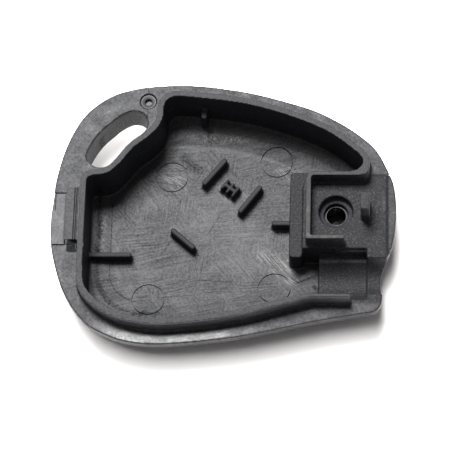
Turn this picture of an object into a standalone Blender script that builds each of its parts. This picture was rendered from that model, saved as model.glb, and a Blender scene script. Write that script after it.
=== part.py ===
"""Back half of a car key shell, lying on its outer face with the open side up.

+X points to the blade end, +Y to the side of the key-ring hole and +Z out of the open side.
The origin is on the resting plane under the middle of the shell, and the blade's axis is y = 0.
Lengths are in metres.
"""

import math

import bmesh
import bpy
import numpy as np
from mathutils import Matrix, Vector

MM = 0.001

# Moulding: overall outline, parting plane, board lip and floor
LENGTH = 54.8 * MM
WIDTH = 44.7 * MM
RIM_HEIGHT = 6.9 * MM
LIP_HEIGHT = 2.9 * MM
LIP_WALL = 1.05 * MM
FLOOR_THICKNESS = 1.2 * MM

# Clearance between separate solids, how far a cut or a joined form runs past its face, and merge distance
FIT_GAP = 0.3 * MM
OVERRUN = 1.0 * MM
WELD_DISTANCE = 0.01 * MM

# Blade platform, measured back from the blade end, with a low wall round three sides of the tang
PLATFORM_RISE = 0.2 * MM
PLATFORM_SETBACK = 1.45 * MM
PLATFORM_LEAD = 1.35 * MM
PLATFORM_HALF_WIDTH = 6.3 * MM
SEAT_LENGTH = 11.95 * MM
SEAT_HALF_WIDTH = 5.15 * MM
SEAT_WALL = 0.7 * MM
SHORT_WALL_LENGTH = 5.4 * MM
LIP_CORNER = 0.7 * MM

# Post that locates the blade
POST_SETBACK = 3.3 * MM
POST_LENGTH = 1.35 * MM
POST_WIDTH = 3.0 * MM
POST_HEIGHT = 4.4 * MM

# Screw hole in the seat and the sleeve in its bore
SCREW_SETBACK = 8.0 * MM
COUNTERBORE_DIAMETER = 5.4 * MM
COUNTERBORE_DEPTH = 1.3 * MM
BUSH_OUTER_DIAMETER = 3.4 * MM
BUSH_INNER_DIAMETER = 2.8 * MM
BUSH_DROP = 0.8 * MM
BUSH_CHAMFER = 0.1 * MM
BUSH_SHOULDER = 1.6 * MM

# Ledge beside the platform that carries the edge of the circuit board
LEDGE_WIDTH = 2.1 * MM
LEDGE_HALF_LENGTH = 7.35 * MM
LEDGE_DROP = 1.1 * MM

# Channel along X beside the seat, with its axis on the parting plane
CHANNEL_LENGTH = 10.7 * MM
CHANNEL_STEP_SETBACK = 3.1 * MM
CHANNEL_WIDE_RADIUS = 3.95 * MM
CHANNEL_NARROW_RADIUS = 3.0 * MM
CHANNEL_LAND = 0.1 * MM
SHELF_LENGTH = 4.95 * MM
SHELF_DROP = 0.4 * MM
SHOULDER_DROP = 1.7 * MM

# Thin end of the lip beside the channel
ARM_WALL = 0.65 * MM
ARM_LEAD = 1.15 * MM
ARM_LENGTH = 5.15 * MM

# Locating socket beside the key-ring hole, and its ferrule
SOCKET_DIAMETER = 2.6 * MM
SOCKET_DEPTH = 3.2 * MM
FERRULE_INNER_DIAMETER = 1.2 * MM
FERRULE_DROP = 0.4 * MM
FERRULE_CHAMFER = 0.15 * MM

# Latch panel let into the left edge, with a raised pad on its inner part
LATCH_START = -5.6 * MM
LATCH_END = 3.3 * MM
LATCH_PAD_END = 4.0 * MM
LATCH_FACET = 2.0 * MM
LATCH_LAND = 0.52 * MM
LATCH_THICKNESS = 2.5 * MM
LATCH_PAD_RISE = 0.8 * MM

# Ribs, ladder and ejector marks on the floor
RIB_WIDTH = 0.62 * MM
RIB_HEIGHT = 2.0 * MM
RIB_CHAMFER = 0.18 * MM
RIB_ROOT = 0.4 * MM
LEFT_RIB_Y = -5.8 * MM
LEFT_RIB_LENGTH = 6.9 * MM
RIGHT_RIB_Y = -0.3 * MM
RIGHT_RIB_LENGTH = 3.0 * MM
WALL_RIB_X = -3.65 * MM
WALL_RIB_LENGTH = 2.0 * MM
WALL_RIB_FOOT = 0.5 * MM
LADDER_WIDTH = 0.8 * MM
LADDER_HEIGHT = 1.2 * MM
RUNG_WIDTH = 0.4 * MM
RUNG_LENGTH = 1.7 * MM
RUNG_HEIGHT = 1.7 * MM
EJECTOR_DIAMETER = 5.2 * MM
EJECTOR_DEPTH = 0.1 * MM

# Outer form under its upright edge: shares of the outline's length and width, and of the rim height
DOME_SHARES = ((1.0, 1.0, 0.82), (0.995, 0.985, 0.70), (0.984, 0.955, 0.52), (0.94, 0.89, 0.29),
               (0.85, 0.79, 0.12), (0.68, 0.64, 0.03), (0.52, 0.50, 0.0))

# Floor: shares of the outline's length and width, and of the depth under the rim, outside the crease
FLOOR_SHARES = ((0.675, 0.62, 0.0), (0.80, 0.76, 0.08), (0.92, 0.90, 0.24), (1.0, 1.0, 1.0))

# Outlines as shares of half the length and half the width, anticlockwise
RIM_SHARES = (
    (-1.0, -0.04), (-0.994, -0.25), (-0.965, -0.41), (-0.918, -0.58), (-0.85, -0.73), (-0.76, -0.855),
    (-0.68, -0.912), (-0.57, -0.965), (-0.42, -0.998), (-0.25, -0.985), (0.073, -0.94), (0.30, -0.887),
    (0.53, -0.832), (0.80, -0.772), (0.873, -0.752), (0.905, -0.712), (0.914, -0.65), (0.914, -0.55),
    (0.92, -0.45), (0.946, -0.36), (0.974, -0.27), (0.994, -0.12), (1.0, 0.03), (0.99, 0.18),
    (0.967, 0.275), (0.885, 0.475), (0.79, 0.59), (0.675, 0.69), (0.525, 0.79), (0.336, 0.87),
    (0.146, 0.935), (-0.047, 0.977), (-0.17, 0.996), (-0.31, 1.0), (-0.464, 0.987), (-0.56, 0.965),
    (-0.66, 0.925), (-0.755, 0.85), (-0.835, 0.75), (-0.90, 0.605), (-0.945, 0.45), (-0.98, 0.26),
    (-0.99, 0.14),
)
CAVITY_SHARES = (
    (0.802, 0.298), (0.814, 0.336), (0.792, 0.385), (0.752, 0.434), (0.675, 0.513),
    (0.60, 0.575), (0.453, 0.662), (0.30, 0.73), (0.153, 0.783), (0.0, 0.818), (-0.15, 0.841),
    (-0.23, 0.852), (-0.305, 0.852), (-0.343, 0.825), (-0.36, 0.765), (-0.363, 0.69), (-0.395, 0.60),
    (-0.45, 0.53), (-0.53, 0.447), (-0.61, 0.32), (-0.665, 0.258), (-0.715, 0.238), (-0.773, 0.227),
    (-0.793, 0.20), (-0.793, -0.02), (-0.792, -0.28), (-0.79, -0.53), (-0.776, -0.61), (-0.74, -0.675),
    (-0.675, -0.745), (-0.58, -0.808), (-0.45, -0.848), (-0.34, -0.857), (-0.245, -0.85),
    (-0.105, -0.832), (0.12, -0.785), (0.25, -0.743), (0.345, -0.71), (0.43, -0.682),
)
RING_HOLE_SHARES = (
    (-0.818, 0.443), (-0.80, 0.394), (-0.763, 0.358), (-0.715, 0.354), (-0.672, 0.376), (-0.602, 0.465),
    (-0.533, 0.564), (-0.478, 0.64), (-0.46, 0.70), (-0.471, 0.752), (-0.507, 0.792), (-0.558, 0.80),
    (-0.617, 0.768), (-0.675, 0.711), (-0.741, 0.63), (-0.788, 0.54),
)

# Ends of the free ribs and of the ladder, and middles of the ejector marks, in the same shares
RIB_SHARES = (((-0.002, 0.492), (-0.134, 0.291)), ((0.208, 0.28), (0.083, 0.072)),
              ((-0.311, -0.06), (-0.173, -0.209)))
LADDER_SHARES = ((-0.006, 0.299), (0.058, 0.238))
EJECTOR_SHARES = ((-0.325, 0.385), (0.296, 0.50), (-0.438, -0.573), (0.296, -0.488))

# Middle of the locating socket, and the inner face of the lip's thin end, in the same shares
SOCKET_SHARES = (-0.4635, 0.877)
ARM_SHARE = 0.671

# Counts of steps between outline points, of sides on round forms and of rungs
CURVE_STEPS = 2
ROUND_SIDES = 40
RUNG_COUNT = 3

HALF_LENGTH = LENGTH / 2
HALF_WIDTH = WIDTH / 2
LIP_TOP = RIM_HEIGHT + LIP_HEIGHT
PLATFORM_LEVEL = RIM_HEIGHT + PLATFORM_RISE
LEDGE_LEVEL = RIM_HEIGHT - LEDGE_DROP
COUNTERBORE_LEVEL = PLATFORM_LEVEL - COUNTERBORE_DEPTH
CLEAR_TOP = LIP_TOP + POST_HEIGHT
JOIN_LEVEL = RIM_HEIGHT - OVERRUN
PLATFORM_END = HALF_LENGTH - PLATFORM_SETBACK
SEAT_START = PLATFORM_END - SEAT_LENGTH
PLATFORM_START = SEAT_START - PLATFORM_LEAD
SEAT_OUTER = SEAT_HALF_WIDTH + SEAT_WALL
LEDGE_START = PLATFORM_START - LEDGE_WIDTH
POST_X = PLATFORM_END - POST_SETBACK
SCREW_X = PLATFORM_END - SCREW_SETBACK
CHANNEL_START = PLATFORM_END - CHANNEL_LENGTH
CHANNEL_STEP = PLATFORM_END - CHANNEL_STEP_SETBACK
ARM_INNER = -HALF_WIDTH * ARM_SHARE
ARM_OUTER = ARM_INNER - ARM_WALL
ARM_BEND = CHANNEL_START - ARM_LEAD
ARM_END = CHANNEL_START + ARM_LENGTH
CHANNEL_Y = ARM_INNER + CHANNEL_LAND + CHANNEL_WIDE_RADIUS
CAVITY_LEFT = min(x for x, y in CAVITY_SHARES) * HALF_LENGTH
CAVITY_BACK = max(y for x, y in CAVITY_SHARES) * HALF_WIDTH
LATCH_INNER = CAVITY_LEFT - LIP_WALL - LATCH_LAND
LATCH_PAD_OUTER = LATCH_FACET - HALF_LENGTH
LATCH_FLOOR = RIM_HEIGHT - LATCH_THICKNESS

BLACK_PLASTIC = (0.028, 0.028, 0.030)
PANEL_PLASTIC = (0.036, 0.036, 0.039)
STEEL = (0.42, 0.41, 0.40)


def to_size(shares):
    """Turn shares of half the length and half the width into metres."""
    return [(x * HALF_LENGTH, y * HALF_WIDTH) for x, y in shares]


def smooth_curve(points, closed):
    """Return points along a smooth curve through the given ones."""
    knots = np.array(points)
    ways = np.roll(knots, -1, axis=0) - np.roll(knots, 1, axis=0)
    if not closed:
        ways[0] = knots[1] - knots[0]
        ways[-1] = knots[-1] - knots[-2]
    ways /= np.linalg.norm(ways, axis=1)[:, None]
    curve = []
    for i in range(len(knots) if closed else len(knots) - 1):
        j = (i + 1) % len(knots)
        chord = np.linalg.norm(knots[j] - knots[i])
        for step in range(CURVE_STEPS):
            t = step / CURVE_STEPS
            ease = 3 * t ** 2 - 2 * t ** 3
            point = knots[i] * (1 - ease) + knots[j] * ease
            point += chord * (ways[i] * (t ** 3 - 2 * t ** 2 + t) + ways[j] * (t ** 3 - t ** 2))
            curve.append(tuple(point))
    if not closed:
        curve.append(tuple(knots[-1]))
    return curve


def offset_curve(points, distance):
    """Move an open curve to its right by a distance."""
    ahead = np.gradient(np.array(points), axis=0)
    ahead /= np.linalg.norm(ahead, axis=1)[:, None]
    right = np.stack([ahead[:, 1], -ahead[:, 0]], axis=1)
    return [tuple(point) for point in np.array(points) + right * distance]


def rim_ring():
    """Outline of the moulding at the parting plane."""
    return smooth_curve(to_size(RIM_SHARES), True)


def cavity_curve():
    """Curved wall of the board cavity, from the seat's wall round to the channel."""
    points = to_size(CAVITY_SHARES)
    tip = (points[0][0] - LIP_CORNER, SEAT_OUTER)
    return [(SEAT_START, SEAT_OUTER)] + smooth_curve([tip] + points, False) + [(CHANNEL_START, ARM_INNER)]


def cavity_ring():
    """Outline of the board cavity, closed round the ledge and the platform's front corner."""
    return cavity_curve() + [
        (CHANNEL_START, -PLATFORM_HALF_WIDTH), (PLATFORM_START, -PLATFORM_HALF_WIDTH),
        (PLATFORM_START, -LEDGE_HALF_LENGTH), (LEDGE_START, -LEDGE_HALF_LENGTH),
        (LEDGE_START, LEDGE_HALF_LENGTH), (SEAT_START, LEDGE_HALF_LENGTH)]


def lip_ring():
    """Outline of the lip and the seat's walls, closed across the cavity."""
    outside = offset_curve(cavity_curve(), LIP_WALL)
    edge = max(x for x, y in outside)
    tip = [x for x, y in outside].index(edge)
    free = [(x, y) for x, y in outside[tip:] if y > 0.0 or x < ARM_BEND - 2 * LIP_WALL]
    back = LEDGE_START - OVERRUN
    top = LEDGE_HALF_LENGTH + OVERRUN
    wall = SEAT_START - SEAT_WALL
    short_end = SEAT_START + SHORT_WALL_LENGTH
    return [(SEAT_START, SEAT_HALF_WIDTH), (edge - LIP_CORNER, SEAT_HALF_WIDTH),
            (edge, SEAT_HALF_WIDTH + LIP_CORNER), *free, (ARM_BEND, ARM_OUTER), (ARM_END, ARM_OUTER),
            (ARM_END, ARM_INNER), (back, ARM_INNER), (back, top), (wall, top), (wall, -SEAT_OUTER),
            (short_end, -SEAT_OUTER), (short_end, -SEAT_HALF_WIDTH), (SEAT_START, -SEAT_HALF_WIDTH)]


def socket_middle():
    """Middle of the locating socket."""
    return to_size([SOCKET_SHARES])[0]


def latch_ring(gap):
    """Outline of the latch pocket less a gap, open past the shell's left edge."""
    outside = -HALF_LENGTH - OVERRUN
    start = LATCH_START + gap
    pad_end = LATCH_PAD_END - gap
    end = LATCH_END - gap
    inner = LATCH_INNER - gap
    outer = LATCH_PAD_OUTER + gap
    return [(outside, start), (inner, start), (inner, pad_end), (outer, pad_end), (outer, end), (outside, end)]


def bar_ring(start, end, width):
    """Outline of a straight bar with chamfered corners."""
    first, last = Vector(start), Vector(end)
    along = (last - first).normalized()
    side = Vector((-along.y, along.x))
    half = width / 2
    chamfer = min(RIB_CHAMFER, half / 2)
    inner = half - chamfer
    ring = [first - side * inner, first + along * chamfer - side * half,
            last - along * chamfer - side * half, last - side * inner,
            last + side * inner, last - along * chamfer + side * half,
            first + along * chamfer + side * half, first + side * inner]
    return [tuple(point) for point in ring]


def principled(name, colour, roughness, metallic=0.0):
    """Material of one colour."""
    made = bpy.data.materials.new(name)
    made.use_nodes = True
    shader = made.node_tree.nodes["Principled BSDF"]
    shader.inputs["Base Color"].default_value = (*colour, 1.0)
    shader.inputs["Roughness"].default_value = roughness
    shader.inputs["Metallic"].default_value = metallic
    return made


def add_object(name, bm, collection):
    """Turn a bmesh into a linked object."""
    mesh = bpy.data.meshes.new(name)
    bm.to_mesh(mesh)
    bm.free()
    added = bpy.data.objects.new(name, mesh)
    collection.objects.link(added)
    return added


def prism(name, ring, low, high, collection):
    """Flat outline with a thickness, from a filled 2D curve."""
    curve = bpy.data.curves.new(name + "_outline", "CURVE")
    curve.dimensions = "2D"
    curve.fill_mode = "BOTH"
    curve.extrude = (high - low) / 2
    spline = curve.splines.new("POLY")
    spline.points.add(len(ring) - 1)
    for point, (x, y) in zip(spline.points, ring):
        point.co = (x, y, 0.0, 1.0)
    spline.use_cyclic_u = True
    outline = bpy.data.objects.new(name + "_outline", curve)
    collection.objects.link(outline)
    outline.location.z = (high + low) / 2
    bpy.context.view_layer.update()
    mesh = bpy.data.meshes.new_from_object(outline.evaluated_get(bpy.context.evaluated_depsgraph_get()))
    mesh.transform(outline.matrix_world)
    bm = bmesh.new()
    bm.from_mesh(mesh)
    bmesh.ops.remove_doubles(bm, verts=bm.verts, dist=WELD_DISTANCE)
    bmesh.ops.recalc_face_normals(bm, faces=bm.faces)
    bpy.data.objects.remove(outline)
    bpy.data.meshes.remove(mesh)
    return add_object(name, bm, collection)


def block(name, low, high, collection):
    """Box between two corners."""
    size = Vector(high) - Vector(low)
    middle = (Vector(high) + Vector(low)) / 2
    bm = bmesh.new()
    bmesh.ops.create_cube(bm, size=1.0, matrix=Matrix.Translation(middle) @ Matrix.Diagonal((*size, 1.0)))
    return add_object(name, bm, collection)


def core(name, start, end, diameter, collection):
    """Round core between two points, with a flat side at each quarter."""
    first, last = Vector(start), Vector(end)
    way = last - first
    place = Matrix.Translation((first + last) / 2) @ way.to_track_quat("Z", "Y").to_matrix().to_4x4()
    bm = bmesh.new()
    bmesh.ops.create_cone(
        bm, cap_ends=True, segments=ROUND_SIDES, radius1=diameter / 2, radius2=diameter / 2, depth=way.length,
        matrix=place @ Matrix.Rotation(math.pi / ROUND_SIDES, 4, "Z"))
    return add_object(name, bm, collection)


def stack(name, ring, levels, collection):
    """Solid lofted through scaled copies of an outline, each level an x scale, a y scale and a height."""
    bm = bmesh.new()
    loops = [[bm.verts.new((x * x_scale, y * y_scale, z)) for x, y in ring] for x_scale, y_scale, z in levels]
    rings = [[bm.edges.new((loop[i - 1], vert)) for i, vert in enumerate(loop)] for loop in loops]
    for upper, lower in zip(rings, rings[1:]):
        bmesh.ops.bridge_loops(bm, edges=upper + lower)
    bmesh.ops.contextual_create(bm, geom=rings[0])
    bmesh.ops.contextual_create(bm, geom=rings[-1])
    bmesh.ops.recalc_face_normals(bm, faces=bm.faces)
    return add_object(name, bm, collection)


def sleeve(name, place, outer, inner, low, high, chamfer, collection):
    """Turned sleeve with its inner top edge chamfered."""
    profile = [(outer / 2, high), (outer / 2, low), (inner / 2, low), (inner / 2, high - chamfer),
               (inner / 2 + chamfer, high)]
    bm = bmesh.new()
    verts = [bm.verts.new((radius, 0.0, z)) for radius, z in profile]
    for i, vert in enumerate(verts):
        bm.edges.new((verts[i - 1], vert))
    turned = add_object(name, bm, collection)
    turned.location = (*place, 0.0)
    turn = turned.modifiers.new("turn", "SCREW")
    turn.axis = "Z"
    turn.steps = ROUND_SIDES
    turn.render_steps = ROUND_SIDES
    turn.use_merge_vertices = True
    turn.merge_threshold = WELD_DISTANCE
    return turned


def combine(target, operation, *tools):
    """Join tools to a target, or cut it with them."""
    for tool in tools:
        step = target.modifiers.new(tool.name, "BOOLEAN")
        step.operation = operation
        step.solver = "EXACT"
        step.object = tool
        tool.hide_render = True
        tool.display_type = "WIRE"


def dome(name, top, collection):
    """Outer form of the shell, from a level at or above the rim down to the face it lies on."""
    levels = [(length, width, height * RIM_HEIGHT) for length, width, height in DOME_SHARES]
    return stack(name, rim_ring(), [(1.0, 1.0, top)] + levels, collection)


def cut_rim(case, tools):
    """Cut the rim down round the blade platform."""
    side = HALF_LENGTH + OVERRUN
    rim = block("above_rim", (-side, -side, RIM_HEIGHT), (side, side, CLEAR_TOP), tools)
    platform = block("platform", (PLATFORM_START, CHANNEL_Y, JOIN_LEVEL),
                     (PLATFORM_END, PLATFORM_HALF_WIDTH, CLEAR_TOP + OVERRUN), tools)
    combine(rim, "DIFFERENCE", platform)
    combine(case, "DIFFERENCE", rim)


def join_seat(case, tools):
    """Board lip with the seat's walls, and blade post."""
    lip = prism("lip", lip_ring(), JOIN_LEVEL, LIP_TOP, tools)
    post = block("blade_post", (POST_X - POST_LENGTH / 2, -POST_WIDTH / 2, JOIN_LEVEL),
                 (POST_X + POST_LENGTH / 2, POST_WIDTH / 2, PLATFORM_LEVEL + POST_HEIGHT), tools)
    combine(case, "UNION", lip, post)


def cut_cavity(case, tools):
    """Board cavity, its floor flat inside the crease and curving up outside it."""
    depth = RIM_HEIGHT - FLOOR_THICKNESS
    levels = [(x, y, FLOOR_THICKNESS + rise * depth) for x, y, rise in FLOOR_SHARES] + [(1.0, 1.0, CLEAR_TOP)]
    cavity = prism("cavity", cavity_ring(), FLOOR_THICKNESS - OVERRUN, CLEAR_TOP - OVERRUN, tools)
    combine(cavity, "INTERSECT", stack("floor_bowl", rim_ring(), levels, tools))
    combine(case, "DIFFERENCE", cavity)


def cut_seat(case, tools):
    """Board ledge, and the stepped screw hole through the platform."""
    back = LEDGE_HALF_LENGTH + OVERRUN
    ledge = block("ledge", (LEDGE_START - OVERRUN, -back, LEDGE_LEVEL), (PLATFORM_START, back, CLEAR_TOP), tools)
    ledge_end = block("ledge_end", (PLATFORM_START - OVERRUN, SEAT_OUTER, LEDGE_LEVEL),
                      (SEAT_START, back, CLEAR_TOP), tools)
    above = (SCREW_X, 0.0, PLATFORM_LEVEL + OVERRUN)
    counterbore = core("counterbore", above, (SCREW_X, 0.0, COUNTERBORE_LEVEL), COUNTERBORE_DIAMETER, tools)
    bore = core("sleeve_bore", above, (SCREW_X, 0.0, BUSH_SHOULDER), BUSH_OUTER_DIAMETER + 2 * FIT_GAP, tools)
    through = core("screw_hole", above, (SCREW_X, 0.0, -OVERRUN), BUSH_INNER_DIAMETER, tools)
    combine(case, "DIFFERENCE", ledge, ledge_end, counterbore, bore, through)


def cut_channel(case, tools):
    """Stepped round channel to the blade end, with the shoulder and shelf along the seat."""
    front = -PLATFORM_HALF_WIDTH
    shelf_start = CHANNEL_STEP - SHELF_LENGTH
    shoulder = block("channel_shoulder", (CHANNEL_START - OVERRUN, CHANNEL_Y, RIM_HEIGHT - SHOULDER_DROP),
                     (shelf_start, front, CLEAR_TOP), tools)
    shelf = block("channel_shelf", (shelf_start - OVERRUN, CHANNEL_Y, RIM_HEIGHT - SHELF_DROP),
                  (CHANNEL_STEP, front, CLEAR_TOP), tools)
    wide = core("channel_wide", (CHANNEL_START - OVERRUN, CHANNEL_Y, RIM_HEIGHT),
                (CHANNEL_STEP, CHANNEL_Y, RIM_HEIGHT), 2 * CHANNEL_WIDE_RADIUS, tools)
    narrow = core("channel_narrow", (CHANNEL_STEP - OVERRUN, CHANNEL_Y, RIM_HEIGHT),
                  (HALF_LENGTH + OVERRUN, CHANNEL_Y, RIM_HEIGHT), 2 * CHANNEL_NARROW_RADIUS, tools)
    combine(case, "DIFFERENCE", shoulder, shelf, wide, narrow)


def cut_edge(case, tools):
    """Key-ring hole, locating socket and latch pocket."""
    hole = prism("ring_hole", smooth_curve(to_size(RING_HOLE_SHARES), True), -OVERRUN, CLEAR_TOP, tools)
    middle = socket_middle()
    socket = core("socket", (*middle, RIM_HEIGHT + OVERRUN), (*middle, RIM_HEIGHT - SOCKET_DEPTH), SOCKET_DIAMETER,
                  tools)
    pocket = prism("latch_pocket", latch_ring(0.0), LATCH_FLOOR, CLEAR_TOP, tools)
    combine(case, "DIFFERENCE", hole, socket, pocket)


def join_ribs(case, tools):
    """Ribs on the floor and on the cavity's walls."""
    root = FLOOR_THICKNESS - RIB_ROOT
    top = FLOOR_THICKNESS + RIB_HEIGHT
    half_wall = LIP_WALL / 2
    ends = [to_size(shares) for shares in RIB_SHARES]
    ends.append(((CAVITY_LEFT + LEFT_RIB_LENGTH, LEFT_RIB_Y), (CAVITY_LEFT - half_wall, LEFT_RIB_Y)))
    ends.append(((LEDGE_START - RIGHT_RIB_LENGTH, RIGHT_RIB_Y), (LEDGE_START + half_wall, RIGHT_RIB_Y)))
    ribs = [prism(f"rib_{i}", bar_ring(*pair, RIB_WIDTH), root, top, tools) for i, pair in enumerate(ends)]
    wall_rib = bar_ring((WALL_RIB_X, CAVITY_BACK - WALL_RIB_LENGTH), (WALL_RIB_X, CAVITY_BACK), RIB_WIDTH)
    ribs.append(prism("rib_wall", wall_rib, FLOOR_THICKNESS + WALL_RIB_FOOT, LEDGE_LEVEL, tools))
    combine(case, "UNION", *ribs)


def join_ladder(case, tools):
    """Short bar with rungs across it, in the middle of the floor."""
    root = FLOOR_THICKNESS - RIB_ROOT
    first, last = (Vector(point) for point in to_size(LADDER_SHARES))
    along = (last - first).normalized()
    reach = Vector((-along.y, along.x)) * RUNG_LENGTH / 2
    bar = prism("ladder_bar", bar_ring(first, last, LADDER_WIDTH), root, FLOOR_THICKNESS + LADDER_HEIGHT, tools)
    rungs = []
    for i in range(RUNG_COUNT):
        middle = first.lerp(last, i / (RUNG_COUNT - 1))
        ring = bar_ring(middle - reach, middle + reach, RUNG_WIDTH)
        rungs.append(prism(f"ladder_rung_{i}", ring, root, FLOOR_THICKNESS + RUNG_HEIGHT, tools))
    combine(case, "UNION", bar, *rungs)


def cut_ejector_marks(case, tools):
    """Round witness marks of the ejector pins."""
    low = FLOOR_THICKNESS - EJECTOR_DEPTH
    high = FLOOR_THICKNESS + OVERRUN
    marks = [core(f"ejector_{i}", (x, y, high), (x, y, low), EJECTOR_DIAMETER, tools)
             for i, (x, y) in enumerate(to_size(EJECTOR_SHARES))]
    combine(case, "DIFFERENCE", *marks)


def make_case(parts, tools):
    """The moulding itself."""
    case = dome("case_half", PLATFORM_LEVEL, parts)
    cut_rim(case, tools)
    join_seat(case, tools)
    cut_cavity(case, tools)
    cut_seat(case, tools)
    cut_channel(case, tools)
    cut_edge(case, tools)
    cut_ejector_marks(case, tools)
    join_ribs(case, tools)
    join_ladder(case, tools)
    case.data.materials.append(principled("black_plastic", BLACK_PLASTIC, 0.55))


def make_latch_insert(parts, tools):
    """Panel in the left edge, flush with the outer form, with a raised pad."""
    insert = dome("latch_insert", RIM_HEIGHT, parts)
    fit = prism("latch_fit", latch_ring(FIT_GAP), LATCH_FLOOR + FIT_GAP, CLEAR_TOP, tools)
    pad = block("latch_pad", (LATCH_PAD_OUTER + FIT_GAP, LATCH_START + 2 * FIT_GAP, LATCH_FLOOR + 2 * FIT_GAP),
                (LATCH_INNER - FIT_GAP, LATCH_PAD_END - FIT_GAP, RIM_HEIGHT + LATCH_PAD_RISE), tools)
    combine(insert, "INTERSECT", fit)
    combine(insert, "UNION", pad)
    insert.data.materials.append(principled("panel_plastic", PANEL_PLASTIC, 0.6))


def make_sleeves(parts):
    """Screw bush under the counterbore and ferrule in the locating socket."""
    bush = sleeve("screw_bush", (SCREW_X, 0.0), BUSH_OUTER_DIAMETER, BUSH_INNER_DIAMETER,
                  BUSH_SHOULDER + FIT_GAP, COUNTERBORE_LEVEL - BUSH_DROP, BUSH_CHAMFER, parts)
    bush.data.materials.append(principled("bush_steel", STEEL, 0.35, 1.0))
    ferrule = sleeve("locating_ferrule", socket_middle(), SOCKET_DIAMETER - 2 * FIT_GAP,
                     FERRULE_INNER_DIAMETER, RIM_HEIGHT - SOCKET_DEPTH + FIT_GAP, RIM_HEIGHT - FERRULE_DROP,
                     FERRULE_CHAMFER, parts)
    ferrule.data.materials.append(principled("ferrule_plastic", PANEL_PLASTIC, 0.5))


def main():
    """Build the shell half and the pieces fitted to it."""
    for old in list(bpy.data.objects):
        bpy.data.objects.remove(old)
    parts = bpy.data.collections.new("car_key_shell")
    tools = bpy.data.collections.new("cutters")
    bpy.context.scene.collection.children.link(parts)
    bpy.context.scene.collection.children.link(tools)
    make_case(parts, tools)
    make_latch_insert(parts, tools)
    make_sleeves(parts)


if __name__ == "__main__":
    main()
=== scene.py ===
"""Looks of the back half of a car key shell, lying open side up on a white table.

The shell is modelled again over its construction solids with softened moulded edges and given its
finishes: satin rim, eroded grain on the blade seat, machining marks on the floor. Lengths are in
metres, +X runs to the blade end and +Y to the side of the key-ring hole.
"""

import logging
import math
from dataclasses import dataclass
from enum import Enum
from typing import Callable, Iterable, Sequence

import bpy
import numpy as np
from bpy.types import Material, Node, NodeSocket, NodeTree, Object
from mathutils import Matrix, Vector

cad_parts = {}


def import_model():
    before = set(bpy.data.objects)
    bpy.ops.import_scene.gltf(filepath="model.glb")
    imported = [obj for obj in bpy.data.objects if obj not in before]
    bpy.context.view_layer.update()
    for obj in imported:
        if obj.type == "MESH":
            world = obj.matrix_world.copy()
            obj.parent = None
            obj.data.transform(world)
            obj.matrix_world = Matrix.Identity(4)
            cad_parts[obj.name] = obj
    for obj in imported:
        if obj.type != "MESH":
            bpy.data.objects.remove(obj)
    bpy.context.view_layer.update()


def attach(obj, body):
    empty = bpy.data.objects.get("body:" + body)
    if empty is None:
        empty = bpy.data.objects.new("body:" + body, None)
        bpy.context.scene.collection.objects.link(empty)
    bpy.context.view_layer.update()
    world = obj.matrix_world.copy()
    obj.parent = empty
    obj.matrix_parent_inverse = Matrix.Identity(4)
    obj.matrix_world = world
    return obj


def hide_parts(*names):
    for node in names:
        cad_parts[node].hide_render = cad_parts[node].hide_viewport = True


LOG = logging.getLogger("car_key_shell")

MM = 0.001
OVERRUN = 1.0 * MM
CURVE_STEPS = 8
DOME_STEPS = 4
MOULDED_ANGLE = 50.0
TURNED_ANGLE = 30.0

Point2 = tuple[float, float]
Point3 = tuple[float, float, float]
Value = float | NodeSocket


class Join(Enum):
    """How a tool acts on a solid."""

    ADD = "UNION"
    CUT = "DIFFERENCE"
    KEEP = "INTERSECT"


class Axes(Enum):
    """Which way the outline and the height of an extruded solid point."""

    UP = (0, 1, 2)
    ALONG_Y = (0, 2, 1)
    ALONG_X = (2, 0, 1)


def deselect() -> None:
    """Leave edit mode and select nothing."""
    if bpy.context.object and bpy.context.object.mode != "OBJECT":
        bpy.ops.object.mode_set(mode="OBJECT")
    bpy.ops.object.select_all(action="DESELECT")


def activate(piece: Object) -> None:
    """Make a piece the only selected and the active one.

    Args:
        piece: The object to work on.
    """
    deselect()
    piece.select_set(True)
    bpy.context.view_layer.objects.active = piece


def modify(piece: Object, kind: str, **settings: object) -> None:
    """Give a piece a modifier and apply it.

    Args:
        piece: The piece.
        kind: The modifier's type.
        **settings: Its properties.
    """
    activate(piece)
    step = piece.modifiers.new(kind.lower(), kind)
    for name, value in settings.items():
        setattr(step, name, value)
    bpy.ops.object.modifier_apply(modifier=step.name)


def smooth_curve(points: Sequence[Sequence[float]], closed: bool, steps: int) -> list[tuple]:
    """Points along a smooth curve through the given ones.

    Args:
        points: Points that the curve passes.
        closed: Whether the curve runs back to its first point.
        steps: Pieces between each two points.

    Returns:
        The curve's points.
    """
    knots = np.array(points)
    ways = np.roll(knots, -1, axis=0) - np.roll(knots, 1, axis=0)
    if not closed:
        ways[0] = knots[1] - knots[0]
        ways[-1] = knots[-1] - knots[-2]
    ways /= np.linalg.norm(ways, axis=1)[:, None]
    curve = []
    for i in range(len(knots) if closed else len(knots) - 1):
        j = (i + 1) % len(knots)
        chord = np.linalg.norm(knots[j] - knots[i])
        for step in range(steps):
            t = step / steps
            ease = 3 * t ** 2 - 2 * t ** 3
            point = knots[i] * (1 - ease) + knots[j] * ease
            point += chord * (ways[i] * (t ** 3 - 2 * t ** 2 + t) + ways[j] * (t ** 3 - t ** 2))
            curve.append(tuple(point))
    if not closed:
        curve.append(tuple(knots[-1]))
    return curve


def offset_curve(points: Sequence[Point2], distance: float) -> list[Point2]:
    """An open curve moved to its right.

    Args:
        points: The curve.
        distance: How far to move it.

    Returns:
        The moved curve.
    """
    ahead = np.gradient(np.array(points), axis=0)
    ahead /= np.linalg.norm(ahead, axis=1)[:, None]
    right = np.stack([ahead[:, 1], -ahead[:, 0]], axis=1)
    return [tuple(point) for point in np.array(points) + right * distance]


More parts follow.
